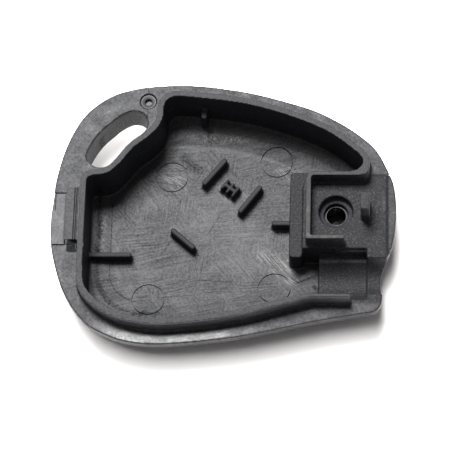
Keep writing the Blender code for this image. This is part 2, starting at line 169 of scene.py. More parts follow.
def rounded_ring(corners: Sequence[Sequence[float]], steps: int = 6) -> list[Point2]:
    """An outline with some of its corners rounded.

    Args:
        corners: The corners in order, each with the length that rounding takes from its sides, if any.
        steps: Pieces along each rounded corner.

    Returns:
        The rounded outline.
    """
    ring = []
    for i, (x, y, *cut) in enumerate(corners):
        here = Vector((x, y))
        if not cut:
            ring.append((x, y))
            continue
        before = (Vector(corners[i - 1][:2]) - here).normalized() * cut[0]
        after = (Vector(corners[(i + 1) % len(corners)][:2]) - here).normalized() * cut[0]
        for step in range(steps + 1):
            t = step / steps
            ring.append(tuple(here + before * (1 - t) ** 2 + after * t ** 2))
    return ring


def bar_ring(start: Sequence[float], end: Sequence[float], width: float,
             chamfer: float = 0.0) -> list[Point2]:
    """Outline of a straight bar with cut corners.

    Args:
        start: Middle of one end.
        end: Middle of the other end.
        width: Width of the bar.
        chamfer: Length cut from each corner.

    Returns:
        The outline.
    """
    first, last = Vector(start), Vector(end)
    along = (last - first).normalized()
    side = Vector((-along.y, along.x)) * width / 2
    corners = [first - side, last - side, last + side, first + side]
    return rounded_ring([(*corner, chamfer) if chamfer else tuple(corner) for corner in corners], 1)


def circle_ring(middle: Point2, radius: float, teeth: int = 0, tooth: float = 0.0) -> list[Point2]:
    """Outline of a circle, with or without fine teeth.

    Args:
        middle: Its centre.
        radius: Its radius, to half the depth of its teeth.
        teeth: Number of teeth.
        tooth: How far a tooth goes in and out.

    Returns:
        The outline.
    """
    angles = np.linspace(0.0, 2 * math.pi, 192, endpoint=False)
    reach = radius + tooth * np.sin(angles * teeth)
    return [(middle[0] + r * math.cos(a), middle[1] + r * math.sin(a)) for r, a in zip(reach, angles)]


def start_solid(name: str, corners: Sequence[Sequence[float]]) -> Object:
    """A flat face in edit mode, selected and ready to be extruded.

    Args:
        name: Name of the new object.
        corners: Its corners in order.

    Returns:
        The new object.
    """
    deselect()
    bpy.ops.mesh.primitive_circle_add(vertices=len(corners), radius=1.0, fill_type="NGON")
    solid = bpy.context.object
    solid.name = name
    for vert, corner in zip(solid.data.vertices, corners):
        vert.co = corner
    bpy.ops.object.mode_set(mode="EDIT")
    bpy.ops.mesh.select_all(action="SELECT")
    return solid


def end_solid() -> None:
    """Turn the faces of the solid in edit mode outward and leave that mode."""
    bpy.ops.mesh.select_all(action="SELECT")
    bpy.ops.mesh.normals_make_consistent(inside=False)
    bpy.ops.object.mode_set(mode="OBJECT")


def outline_solid(name: str, ring: Sequence[Point2], low: float, high: float,
                  axes: Axes = Axes.UP) -> Object:
    """A flat outline extruded along one axis.

    Args:
        name: Name of the new object.
        ring: The outline.
        low: Where it starts along the axis.
        high: Where it ends.
        axes: The way that it points.

    Returns:
        The closed solid.
    """
    solid = start_solid(name, [[(x, y, low)[axis] for axis in axes.value] for x, y in ring])
    move = [(0.0, 0.0, high - low)[axis] for axis in axes.value]
    bpy.ops.mesh.extrude_region_move(TRANSFORM_OT_translate={"value": move})
    end_solid()
    return solid


def stacked_solid(name: str, ring: Sequence[Point2], levels: Sequence[Point3]) -> Object:
    """An outline extruded through levels, scaled about the origin at each one.

    Args:
        name: Name of the new object.
        ring: The outline at full size.
        levels: Length scale, width scale and height of each level.

    Returns:
        The closed solid.
    """
    length, width, height = levels[0]
    solid = start_solid(name, [(x * length, y * width, height) for x, y in ring])
    for next_length, next_width, next_height in levels[1:]:
        bpy.ops.mesh.extrude_region_move(TRANSFORM_OT_translate={"value": (0.0, 0.0, next_height - height)})
        scale = (next_length / length, next_width / width, 1.0)
        bpy.ops.transform.resize(value=scale, center_override=(0.0, 0.0, 0.0))
        length, width, height = next_length, next_width, next_height
    end_solid()
    return solid


def settle(name: str, scale: Sequence[float] = (1.0, 1.0, 1.0)) -> Object:
    """Name the solid just added and apply its place, turn and scale.

    Args:
        name: Its name.
        scale: Its scale.

    Returns:
        The solid.
    """
    solid = bpy.context.object
    solid.name = name
    solid.scale = scale
    bpy.ops.object.transform_apply(location=True, rotation=True, scale=True)
    return solid


def box_solid(name: str, low: Point3, high: Point3) -> Object:
    """A box between two corners.

    Args:
        name: Name of the new object.
        low: Its lowest corner.
        high: Its highest corner.

    Returns:
        The box.
    """
    deselect()
    bpy.ops.mesh.primitive_cube_add(size=1.0, location=(Vector(low) + Vector(high)) / 2)
    return settle(name, Vector(high) - Vector(low))


def round_solid(name: str, start: Point3, end: Point3, diameter: float,
                top: float | None = None) -> Object:
    """A round core or cone between two points.

    Args:
        name: Name of the new object.
        start: Middle of its first end.
        end: Middle of its other end.
        diameter: Its diameter at the first end.
        top: Its diameter at the other end, the same if left out.

    Returns:
        The closed solid.
    """
    first, last = Vector(start), Vector(end)
    way = last - first
    deselect()
    bpy.ops.mesh.primitive_cone_add(
        vertices=96, radius1=diameter / 2, radius2=(top or diameter) / 2, depth=way.length,
        location=(first + last) / 2, rotation=way.to_track_quat("Z", "Y").to_euler())
    return settle(name)


def apply_tools(target: Object, way: Join, tools: Iterable[Object]) -> None:
    """Join tools to a solid or cut it with them, and remove them.

    Args:
        target: The solid that changes.
        way: What the tools do to it.
        tools: The tools, in order.
    """
    for tool in tools:
        modify(target, "BOOLEAN", operation=way.value, solver="MANIFOLD", object=tool)
        bpy.data.objects.remove(tool)


def ring_tool(name: str, outer: Sequence[Point2], inner: Sequence[Point2], low: float,
              high: float) -> Object:
    """A solid between two outlines, one inside the other.

    Args:
        name: Name of the new object.
        outer: The larger outline.
        inner: The smaller outline.
        low: Height of its underside.
        high: Height of its top.

    Returns:
        The closed solid.
    """
    solid = outline_solid(name, outer, low, high)
    apply_tools(solid, Join.CUT, [outline_solid(name + "_core", inner, low - OVERRUN, high + OVERRUN)])
    return solid


def soften(piece: Object, cell: float, passes: int, faces: int) -> None:
    """Give a sharp solid the small even radii of a moulding.

    Args:
        piece: The solid.
        cell: Edge of the cells it is rebuilt from, which sets the radii.
        passes: Rounds of smoothing.
        faces: Most triangles left at the end.
    """
    modify(piece, "REMESH", mode="VOXEL", voxel_size=cell)
    modify(piece, "SMOOTH", factor=0.5, iterations=passes)
    triangles = sum(len(face.vertices) - 2 for face in piece.data.polygons)
    if triangles > faces:
        modify(piece, "DECIMATE", ratio=faces / triangles)


def shade(piece: Object, angle: float) -> None:
    """Shade a piece smooth up to an angle, its large faces setting the normals.

    Args:
        piece: The piece.
        angle: Sharpest edge that is still smooth, in degrees.
    """
    activate(piece)
    bpy.ops.object.shade_smooth_by_angle(angle=math.radians(angle))
    modify(piece, "WEIGHTED_NORMAL", keep_sharp=True)


def paint_faces(piece: Object, slot: int, inside: Callable[[Vector], bool]) -> None:
    """Give a material slot to the faces whose middle passes a test.

    Args:
        piece: The piece.
        slot: Number of the material slot.
        inside: The test.
    """
    for face in piece.data.polygons:
        if inside(face.center):
            face.material_index = slot


# Outlines as shares of half the length and half the width
RIM_SHARES = (
    (-1.004, -0.04), (-0.998, -0.25), (-0.969, -0.41), (-0.922, -0.582), (-0.853, -0.735), (-0.763, -0.862),
    (-0.68, -0.922), (-0.57, -0.977), (-0.42, -1.006), (-0.25, -1.001), (0.073, -0.956), (0.30, -0.900),
    (0.53, -0.836), (0.80, -0.776), (0.88, -0.756), (0.912, -0.714), (0.922, -0.65), (0.922, -0.55),
    (0.926, -0.45), (0.95, -0.36), (0.978, -0.27), (0.998, -0.12), (1.003, 0.03), (0.993, 0.18),
    (0.970, 0.277), (0.888, 0.478), (0.793, 0.594), (0.678, 0.695), (0.527, 0.795), (0.338, 0.875),
    (0.147, 0.940), (-0.047, 0.982), (-0.17, 1.0), (-0.31, 1.004), (-0.466, 0.992), (-0.563, 0.970),
    (-0.664, 0.930), (-0.76, 0.855), (-0.841, 0.754), (-0.906, 0.608), (-0.951, 0.452), (-0.985, 0.26),
    (-0.995, 0.14),
)
CAVITY_SHARES = (
    (0.785, 0.281), (0.812, 0.335), (0.794, 0.385), (0.752, 0.434), (0.675, 0.513),
    (0.60, 0.575), (0.453, 0.662), (0.30, 0.73), (0.153, 0.783), (0.0, 0.818), (-0.15, 0.841),
    (-0.23, 0.852), (-0.305, 0.852), (-0.343, 0.825), (-0.36, 0.765), (-0.363, 0.69), (-0.395, 0.60),
    (-0.45, 0.53), (-0.53, 0.447), (-0.61, 0.32), (-0.665, 0.258), (-0.715, 0.238), (-0.773, 0.227),
    (-0.793, 0.20), (-0.793, -0.02), (-0.792, -0.28), (-0.79, -0.53), (-0.776, -0.61), (-0.74, -0.675),
    (-0.675, -0.745), (-0.58, -0.808), (-0.45, -0.848), (-0.34, -0.857), (-0.245, -0.85),
    (-0.105, -0.832), (0.12, -0.785), (0.25, -0.743), (0.345, -0.71), (0.43, -0.682),
)
RING_HOLE_SHARES = (
    (-0.818, 0.443), (-0.80, 0.394), (-0.763, 0.358), (-0.715, 0.354), (-0.672, 0.376), (-0.602, 0.465),
    (-0.533, 0.564), (-0.478, 0.64), (-0.46, 0.70), (-0.471, 0.752), (-0.507, 0.792), (-0.558, 0.80),
    (-0.617, 0.768), (-0.675, 0.711), (-0.741, 0.63), (-0.788, 0.54),
)
CREASE_SHARES = (
    (-0.675, 0.237), (-0.672, 0.0), (-0.664, -0.206), (-0.617, -0.497), (-0.545, -0.575), (-0.339, -0.613),
    (0.011, -0.577), (0.20, -0.51), (0.39, -0.443), (0.547, -0.37), (0.66, -0.22), (0.68, 0.0),
    (0.62, 0.26), (0.42, 0.44), (0.175, 0.537), (-0.015, 0.586), (-0.255, 0.622), (-0.376, 0.613),
    (-0.50, 0.55), (-0.60, 0.43),
)

# Outer form under its upright edge, and the floor outside its crease: scales of the outline, and heights as
# shares of the rim's height or of the depth under the rim
DOME_SHARES = ((1.0, 1.0, 0.82), (0.995, 0.985, 0.70), (0.984, 0.955, 0.52), (0.94, 0.89, 0.29),
               (0.85, 0.79, 0.12), (0.68, 0.64, 0.03), (0.52, 0.50, 0.0))
FLOOR_SHARES = ((1.0, 1.0, 0.0), (1.185, 1.226, 0.08), (1.36, 1.45, 0.24), (1.48, 1.61, 1.0))

# Free ribs, ladder, ejector marks and locating socket, in shares of half the length and half the width
RIB_SHARES = (((-0.002, 0.492), (-0.134, 0.291)), ((0.208, 0.28), (0.083, 0.072)),
              ((-0.311, -0.06), (-0.173, -0.209)))
LADDER_SHARES = ((-0.006, 0.299), (0.058, 0.238))
EJECTOR_SHARES = ((-0.325, 0.385), (0.296, 0.50), (-0.438, -0.573), (0.296, -0.488))
SOCKET_SHARES = (-0.4635, 0.877)

# Ends of the notches in the edge beside the blade platform
NOTCHES = (((26.1 * MM, 6.5 * MM), (28.0 * MM, 6.3 * MM)),
           ((26.35 * MM, -6.5 * MM), (28.0 * MM, -6.9 * MM)))
NOTCH_WIDTH = 0.3 * MM


@dataclass
class ShellHalf:
    """The moulding: outer form, lip, cavity, blade seat, channel and key-ring hole."""

    length: float
    width: float
    rim: float = 6.9 * MM
    lip_height: float = 2.9 * MM
    lip_wall: float = 1.05 * MM
    floor: float = 1.2 * MM
    platform_rise: float = 0.2 * MM
    platform_start: float = 12.65 * MM
    platform_end: float = 25.95 * MM
    platform_half_width: float = 6.3 * MM
    seat_start: float = 14.0 * MM
    seat_half_width: float = 5.15 * MM
    seat_wall: float = 0.7 * MM
    short_wall_end: float = 19.4 * MM
    lip_corner: float = 1.2 * MM
    seat_corner: float = 0.55 * MM
    seat_front_corner: float = 0.4 * MM
    seat_back_corner: float = 1.1 * MM
    wall_corner: float = 0.1 * MM
    blade_corner: float = 1.7 * MM
    post_x: float = 22.65 * MM
    post_length: float = 1.35 * MM
    post_width: float = 3.0 * MM
    post_height: float = 4.4 * MM
    post_corner: float = 0.12 * MM
    screw_x: float = 17.95 * MM
    counterbore: float = 5.4 * MM
    counterbore_depth: float = 1.3 * MM
    bore: float = 3.8 * MM
    bore_foot: float = 1.6 * MM
    screw_hole: float = 1.3 * MM
    ledge_start: float = 10.55 * MM
    ledge_half_length: float = 7.35 * MM
    ledge_drop: float = 1.1 * MM
    ledge_corner: float = 0.8 * MM
    ledge_inner_corner: float = 0.7 * MM
    alcove_corner: float = 1.6 * MM
    channel_y: float = -10.95 * MM
    channel_start: float = 15.25 * MM
    channel_step: float = 22.85 * MM
    wide_radius: float = 3.95 * MM
    wide_step: float = 0.06 * MM
    narrow_radius: float = 3.0 * MM
    shelf_start: float = 17.9 * MM
    shelf_drop: float = 0.4 * MM
    shelf_width: float = 0.4 * MM
    shoulder_drop: float = 2.3 * MM
    arm_inner: float = -15.0 * MM
    arm_wall: float = 0.65 * MM
    arm_bend: float = 14.1 * MM
    arm_end: float = 20.4 * MM
    arm_corner: float = 0.25 * MM
    arm_inner_corner: float = 0.3 * MM
    rib_width: float = 0.86 * MM
    rib_height: float = 2.0 * MM
    rib_chamfer: float = 0.2 * MM
    rib_root: float = 0.4 * MM
    rib_sink: float = 0.5 * MM
    left_rib_y: float = -5.8 * MM
    left_rib_length: float = 6.9 * MM
    right_rib_y: float = -0.3 * MM
    right_rib_length: float = 3.0 * MM
    wall_rib_x: float = -3.65 * MM
    wall_rib_length: float = 2.0 * MM
    ladder_width: float = 0.64 * MM
    ladder_height: float = 1.72 * MM
    rung_width: float = 0.42 * MM
    rung_height: float = 1.7 * MM
    rung_reach: float = 1.0 * MM
    socket_diameter: float = 2.6 * MM
    socket_depth: float = 3.2 * MM
    ejector_radius: float = 2.65 * MM
    ejector_groove: float = 0.16 * MM
    crease_width: float = 0.12 * MM
    crease_end: float = 4.0 * MM
    seam: float = 0.11 * MM
    seam_depth: float = 0.35 * MM
    seam_reach: float = 2.0 * MM
    latch_line_y: float = -5.6 * MM
    latch_line_depth: float = 0.3 * MM
    platform_line_x: float = 26.0 * MM
    platform_line_depth: float = 0.15 * MM
    cell: float = 0.14 * MM
    most_faces: int = 185000

    @property
    def lip_top(self) -> float:
        """Height of the lip's top."""
        return self.rim + self.lip_height

    @property
    def clear(self) -> float:
        """Height above everything."""
        return self.lip_top + self.post_height

    @property
    def platform(self) -> float:
        """Height of the blade platform."""
        return self.rim + self.platform_rise

    @property
    def ledge(self) -> float:
        """Height of the ledge that carries the circuit board."""
        return self.rim - self.ledge_drop

    @property
    def seat_outer(self) -> float:
        """Half the width across the seat's walls."""
        return self.seat_half_width + self.seat_wall

    @property
    def socket(self) -> Point2:
        """Middle of the locating socket."""
        return self.sized([SOCKET_SHARES])[0]

    def sized(self, shares: Sequence[Point2]) -> list[Point2]:
        """Shares of half the length and half the width, in metres."""
        return [(x * self.length / 2, y * self.width / 2) for x, y in shares]

    def rim_ring(self) -> list[Point2]:
        """Outline at the parting plane."""
        return smooth_curve(self.sized(RIM_SHARES), True, CURVE_STEPS)

    def crease_ring(self) -> list[Point2]:
        """Outline of the flat part of the floor."""
        return smooth_curve(self.sized(CREASE_SHARES), True, CURVE_STEPS)

    def cavity_curve(self) -> list[Point2]:
        """Curved wall of the cavity, from the seat's wall round to the channel."""
        points = self.sized(CAVITY_SHARES)
        tip = (points[0][0] - self.lip_corner, self.seat_outer)
        curve = smooth_curve([tip] + points, False, CURVE_STEPS)
        return [(self.seat_start, self.seat_outer)] + curve + [(self.channel_start, self.arm_inner)]

    def cavity_ring(self) -> list[Point2]:
        """Outline of the cavity, closed round the ledge and the platform's front corner."""
        corners = [(self.channel_start, -self.platform_half_width),
                   (self.platform_start, -self.platform_half_width),
                   (self.platform_start, -self.ledge_half_length, self.ledge_inner_corner),
                   (self.ledge_start, -self.ledge_half_length, self.ledge_corner),
                   (self.ledge_start, self.ledge_half_length, self.ledge_corner),
                   (self.seat_start, self.ledge_half_length)]
        return rounded_ring(self.cavity_curve() + corners)

    def lip_ring(self) -> list[Point2]:
        """Outline of the lip and the seat's walls, a band open towards the channel."""
        inside = self.cavity_curve()
        outside = offset_curve(inside, self.lip_wall)
        edge = max(x for x, y in outside)
        tip = [x for x, y in outside].index(edge)
        free = [(x, y) for x, y in outside[tip:] if y > 0.0 or x < self.arm_bend - 2 * self.lip_wall]
        side = self.seat_half_width
        wall = self.seat_start - self.seat_wall
        arm_outer = self.arm_inner - self.arm_wall
        corners = [(self.seat_start, side, self.seat_corner), (edge, side, self.blade_corner), *free,
                   (self.arm_bend, arm_outer), (self.arm_end, arm_outer, self.arm_corner),
                   (self.arm_end, self.arm_inner, self.arm_inner_corner), *inside[:0:-1],
                   (wall, self.seat_outer, self.seat_back_corner),
                   (wall, -self.seat_outer, 2 * self.wall_corner),
                   (self.short_wall_end, -self.seat_outer, self.wall_corner),
                   (self.short_wall_end, -side, self.wall_corner),
                   (self.seat_start, -side, self.seat_front_corner)]
        return rounded_ring(corners)

    def build(self, pocket: Object, hollow: Object) -> Object:
        """The whole moulding, softened.

        Args:
            pocket: Solid of the latch pocket.
            hollow: Solid of the hollow beside it.

        Returns:
            The moulding.
        """
        shell = self.outer_form("shell_half", self.platform)
        self.cut_rim(shell)
        self.cut_cavity(shell)
        self.cut_seat(shell)
        self.cut_channel(shell)
        self.add_walls(shell)
        self.add_ribs(shell)
        self.cut_edge(shell)
        apply_tools(shell, Join.CUT, [pocket, hollow])
        soften(shell, self.cell, 3, self.most_faces)
        self.cut_lines(shell)
        shade(shell, MOULDED_ANGLE)
        return shell

    def outer_form(self, name: str, top: float) -> Object:
        """Domed outer form, from a level at or above the rim down to the face it lies on.

        Args:
            name: Name of the new object.
            top: Height of its top.

        Returns:
            The closed solid.
        """
        dome = smooth_curve(DOME_SHARES, False, DOME_STEPS)
        levels = [(1.0, 1.0, top)] + [(x, y, max(z, 0.0) * self.rim) for x, y, z in dome]
        return stacked_solid(name, self.rim_ring(), levels)

    def cut_rim(self, shell: Object) -> None:
        """Cut the rim down round the blade platform."""
        side = self.length
        rim = box_solid("above_rim", (-side, -side, self.rim), (side, side, self.clear))
        keep = box_solid("platform", (self.platform_start, self.channel_y, self.floor),
                         (self.platform_end, self.platform_half_width, self.clear + OVERRUN))
        apply_tools(rim, Join.CUT, [keep])
        apply_tools(shell, Join.CUT, [rim])

    def cut_cavity(self, shell: Object) -> None:
        """Cut the board cavity, its floor curving up outside the crease."""
        depth = self.rim - self.floor
        levels = [(x, y, self.floor + rise * depth) for x, y, rise in FLOOR_SHARES]
        levels.append((*FLOOR_SHARES[-1][:2], self.clear))
        bowl = stacked_solid("floor_bowl", self.crease_ring(), levels)
        cavity = outline_solid("cavity", self.cavity_ring(), self.floor - OVERRUN, self.clear - OVERRUN)
        apply_tools(cavity, Join.KEEP, [bowl])
        apply_tools(shell, Join.CUT, [cavity])

    def cut_seat(self, shell: Object) -> None:
        """Cut the board ledge and the stepped screw hole."""
        end = self.ledge_half_length + OVERRUN
        west = self.ledge_start - OVERRUN
        step = rounded_ring([(west, -end), (self.platform_start, -end),
                             (self.platform_start, self.seat_outer, self.alcove_corner),
                             (self.seat_start, self.seat_outer), (self.seat_start, end), (west, end)])
        above = (self.screw_x, 0.0, self.platform + OVERRUN)
        seat = (self.screw_x, 0.0, self.platform - self.counterbore_depth)
        apply_tools(shell, Join.CUT, [
            outline_solid("ledge", step, self.ledge, self.clear),
            round_solid("counterbore", above, seat, self.counterbore),
            round_solid("bush_bore", above, (self.screw_x, 0.0, self.bore_foot), self.bore),
            round_solid("screw_hole", above, (self.screw_x, 0.0, -OVERRUN), self.screw_hole)])

    def cut_channel(self, shell: Object) -> None:
        """Cut the stepped round channel, and the shoulder and shelf along the seat."""
        front = -self.platform_half_width
        wide = 2 * self.wide_radius
        boxes = (("shoulder", self.channel_start - OVERRUN, self.shelf_start, front, self.shoulder_drop),
                 ("shelf", self.shelf_start - OVERRUN, self.channel_step, front, self.shelf_drop),
                 ("shelf_edge", self.shelf_start - OVERRUN, self.channel_step, front - self.shelf_width,
                  self.shoulder_drop))
        narrow = 2 * self.narrow_radius
        rounds = (("wide", self.channel_start - OVERRUN, self.shelf_start, wide - self.wide_step),
                  ("wide_end", self.shelf_start, self.channel_step, wide),
                  ("narrow", self.channel_step - OVERRUN, self.length / 2 + OVERRUN, narrow))
        y = self.channel_y
        tools = [box_solid(name, (start, y, self.rim - drop), (end, side, self.clear))
                 for name, start, end, side, drop in boxes]
        tools += [round_solid(name, (start, y, self.rim), (end, y, self.rim), diameter)
                  for name, start, end, diameter in rounds]
        apply_tools(shell, Join.CUT, tools)

    def add_walls(self, shell: Object) -> None:
        """Join the lip with the seat's walls, and the post."""
        post = [(self.post_x + x * self.post_length / 2, y * self.post_width / 2, self.post_corner)
                for x, y in ((-1, -1), (1, -1), (1, 1), (-1, 1))]
        root = self.rim - OVERRUN
        apply_tools(shell, Join.ADD, [
            outline_solid("lip", self.lip_ring(), root, self.lip_top),
            outline_solid("post", rounded_ring(post), root, self.platform + self.post_height)])

    def rib_ends(self) -> list[tuple[Point2, Point2]]:
        """Ends of the ribs on the floor."""
        left = min(x for x, y in CAVITY_SHARES) * self.length / 2
        ends = [tuple(self.sized(pair)) for pair in RIB_SHARES]
        ends.append(((left + self.left_rib_length, self.left_rib_y),
                     (left - self.rib_sink, self.left_rib_y)))
        ends.append(((self.ledge_start - self.right_rib_length, self.right_rib_y),
                     (self.ledge_start + self.rib_sink, self.right_rib_y)))
        return ends

    def add_ribs(self, shell: Object) -> None:
        """Join the ribs and the ladder to the floor, and the short rib to the back wall."""
        root = self.floor - self.rib_root
        top = self.floor + self.rib_height
        ribs = [outline_solid(f"rib_{i}", bar_ring(*ends, self.rib_width, self.rib_chamfer), root, top)
                for i, ends in enumerate(self.rib_ends())]
        back = max(y for x, y in CAVITY_SHARES) * self.width / 2
        wall_rib = bar_ring((self.wall_rib_x, back - self.wall_rib_length), (self.wall_rib_x, back),
                            self.rib_width, self.rib_chamfer)
        ribs.append(outline_solid("wall_rib", wall_rib, self.floor + 0.5 * MM, self.ledge))
        first, last = (Vector(point) for point in self.sized(LADDER_SHARES))
        along = (last - first).normalized()
        reach = Vector((-along.y, along.x)) * self.rung_reach
        spine = bar_ring(first, last, self.ladder_width)
        ribs.append(outline_solid("ladder", spine, root, self.floor + self.ladder_height))
        for i in range(3):
            middle = first.lerp(last, i / 2)
            rung = bar_ring(middle - reach, middle + reach, self.rung_width)
            ribs.append(outline_solid(f"rung_{i}", rung, root, self.floor + self.rung_height))
        apply_tools(shell, Join.ADD, ribs)

    def cut_edge(self, shell: Object) -> None:
        """Cut the key-ring hole, the locating socket and the notches at the blade end."""
        ring = smooth_curve(self.sized(RING_HOLE_SHARES), True, CURVE_STEPS)
        x, y = self.socket
        notches = [outline_solid(f"notch_{i}", bar_ring(start, end, NOTCH_WIDTH), self.floor, self.clear)
                   for i, (start, end) in enumerate(NOTCHES)]
        socket = round_solid("socket", (x, y, self.rim + OVERRUN), (x, y, self.rim - self.socket_depth),
                             self.socket_diameter)
        hole = outline_solid("ring_hole", ring, -OVERRUN, self.clear)
        apply_tools(shell, Join.CUT, [hole, socket, *notches])

    def cut_lines(self, shell: Object) -> None:
        """Cut the fine lines: ejector marks, crease, seams of socket and latch, end of the platform."""
        low = self.floor - 0.2 * MM
        high = self.floor + 1.5 * MM
        tools = []
        for i, middle in enumerate(self.sized(EJECTOR_SHARES)):
            outer = circle_ring(middle, self.ejector_radius)
            inner = circle_ring(middle, self.ejector_radius - self.ejector_groove)
            tools.append(ring_tool(f"ejector_{i}", outer, inner, low, high))
        crease = self.crease_ring()
        inner = [(x - math.copysign(self.crease_width, x), y) for x, y in crease]
        line = ring_tool("crease", crease, inner, self.floor - 0.12 * MM, self.floor + 0.3 * MM)
        apply_tools(line, Join.CUT, [box_solid("crease_end", (-self.length, self.crease_end, 0.0),
                                               (self.length, self.width, self.rim))])
        tools.append(line)
        socket_x = self.socket[0]
        hole_end = max(y for x, y in RING_HOLE_SHARES) * self.width / 2
        lines = (("seam", (socket_x, hole_end - self.seam_reach), (socket_x, self.width),
                  self.seam_depth, self.rim + 0.6 * MM),
                 ("latch_line", (-26.0 * MM, self.latch_line_y), (-23.45 * MM, self.latch_line_y),
                  self.latch_line_depth, self.clear),
                 ("platform_line", (self.platform_line_x, -6.05 * MM), (self.platform_line_x, 6.2 * MM),
                  self.platform_line_depth, self.clear))
        for name, start, end, depth, top in lines:
            tools.append(outline_solid(name, bar_ring(start, end, self.seam), self.rim - depth, top))
        apply_tools(shell, Join.CUT, tools)

    def on_rib(self, spot: Vector) -> bool:
        """Whether a point of the surface lies on a rib or on the ladder.

        Args:
            spot: The point.

        Returns:
            True on a rib's top or side.
        """
        if not self.floor + 0.15 * MM < spot.z < self.ledge + 0.1 * MM:
            return False
        bars = [(*ends, self.rib_width) for ends in self.rib_ends()]
        bars.append((*self.sized(LADDER_SHARES), 2.2 * MM))
        bars.append(((self.wall_rib_x, 17.0 * MM), (self.wall_rib_x, 18.6 * MM), self.rib_width))
        for start, end, width in bars:
            first, last = Vector(start), Vector(end)
            along = last - first
            place = (spot.xy - first).dot(along) / along.length_squared
            if -0.15 < place < 1.15 and (spot.xy - first - along * place).length < width / 2 + 0.05 * MM:
                return True
        return False


@dataclass
class LatchPanel:
    """Panel let into the left edge, with a sloping pad beside the lip."""

    shell: ShellHalf
    start: float = -5.65 * MM
    end: float = 3.3 * MM
    pad_start: float = -4.8 * MM
    pad_end: float = 4.3 * MM
    pad_outer: float = -25.3 * MM
    inner: float = -23.3 * MM
    rise: float = 0.14 * MM
    thickness: float = 2.5 * MM
    gap: float = 0.03 * MM
    hollow_depth: float = 0.95 * MM
    hollow_length: float = 2.1 * MM
    hollow_slope: float = 0.6 * MM
    edge_gap_x: float = -26.9 * MM
    edge_gap_start: float = 0.3 * MM
    cell: float = 0.07 * MM
    most_faces: int = 60000

    @property
    def floor(self) -> float:
        """Height of the pocket's floor."""
        return self.shell.rim - self.thickness

    def pocket(self, gap: float = 0.0) -> Object:
        """Solid of the pocket less a gap, open past the left edge.

        Args:
            gap: How far to stay inside it.

        Returns:
            The solid.
        """
        outside = -self.shell.length
        inner = self.pad_outer + 0.15 * MM - gap
        ring = [(outside, self.start + gap), (inner, self.start + gap), (inner, self.end - gap),
                (outside, self.end - gap)]
        return outline_solid("latch_pocket", ring, self.floor + gap, self.shell.clear)

    def sunk_wedge(self) -> Object:
        """Hollow in the rim at the pad's end, deepest beside the lip."""
        rim, start, depth = self.shell.rim, self.pad_start, self.hollow_depth
        inner = self.inner + 0.1 * MM
        outer = self.pad_outer + 0.5 * MM
        above = rim + OVERRUN
        end = start - self.hollow_length
        across = [(outer, rim), (inner, rim - depth), (inner, above), (outer, above)]
        along = [(start, rim - depth), (start, above), (end, above), (end, rim),
                 (end + self.hollow_slope, rim - 0.8 * depth)]
        wedge = outline_solid("wedge", across, -self.shell.width, 0.0, Axes.ALONG_Y)
        cross = outline_solid("wedge_length", along, -self.shell.length, self.shell.length, Axes.ALONG_X)
        apply_tools(wedge, Join.KEEP, [cross])
        return wedge

    def build(self) -> Object:
        """The panel, softened."""
        rim, inner = self.shell.rim, self.inner
        top = rim + self.rise
        panel = self.shell.outer_form("latch_panel", rim)
        apply_tools(panel, Join.KEEP, [self.pocket(self.gap)])
        foot = rim - 0.3 * MM
        across = [(self.pad_outer, foot), (inner, foot), (inner, top), (inner - 0.15 * MM, top),
                  (inner - 0.4 * MM, rim - 0.02 * MM), (inner - 0.7 * MM, rim + 0.8 * self.rise),
                  (self.pad_outer, rim + 0.02 * MM)]
        pad = outline_solid("pad", across, self.pad_start, self.pad_end, Axes.ALONG_Y)
        apply_tools(panel, Join.ADD, [pad])
        outside = -self.shell.length
        edge = [(outside, rim - 1.2 * MM), (self.edge_gap_x - 0.05 * MM, rim - 0.4 * MM),
                (self.edge_gap_x + 0.05 * MM, rim + OVERRUN), (outside, rim + OVERRUN)]
        gap = outline_solid("edge_gap", edge, self.edge_gap_start, self.pad_end, Axes.ALONG_Y)
        apply_tools(panel, Join.CUT, [gap])
        soften(panel, self.cell, 2, self.most_faces)
        shade(panel, MOULDED_ANGLE)
        return panel


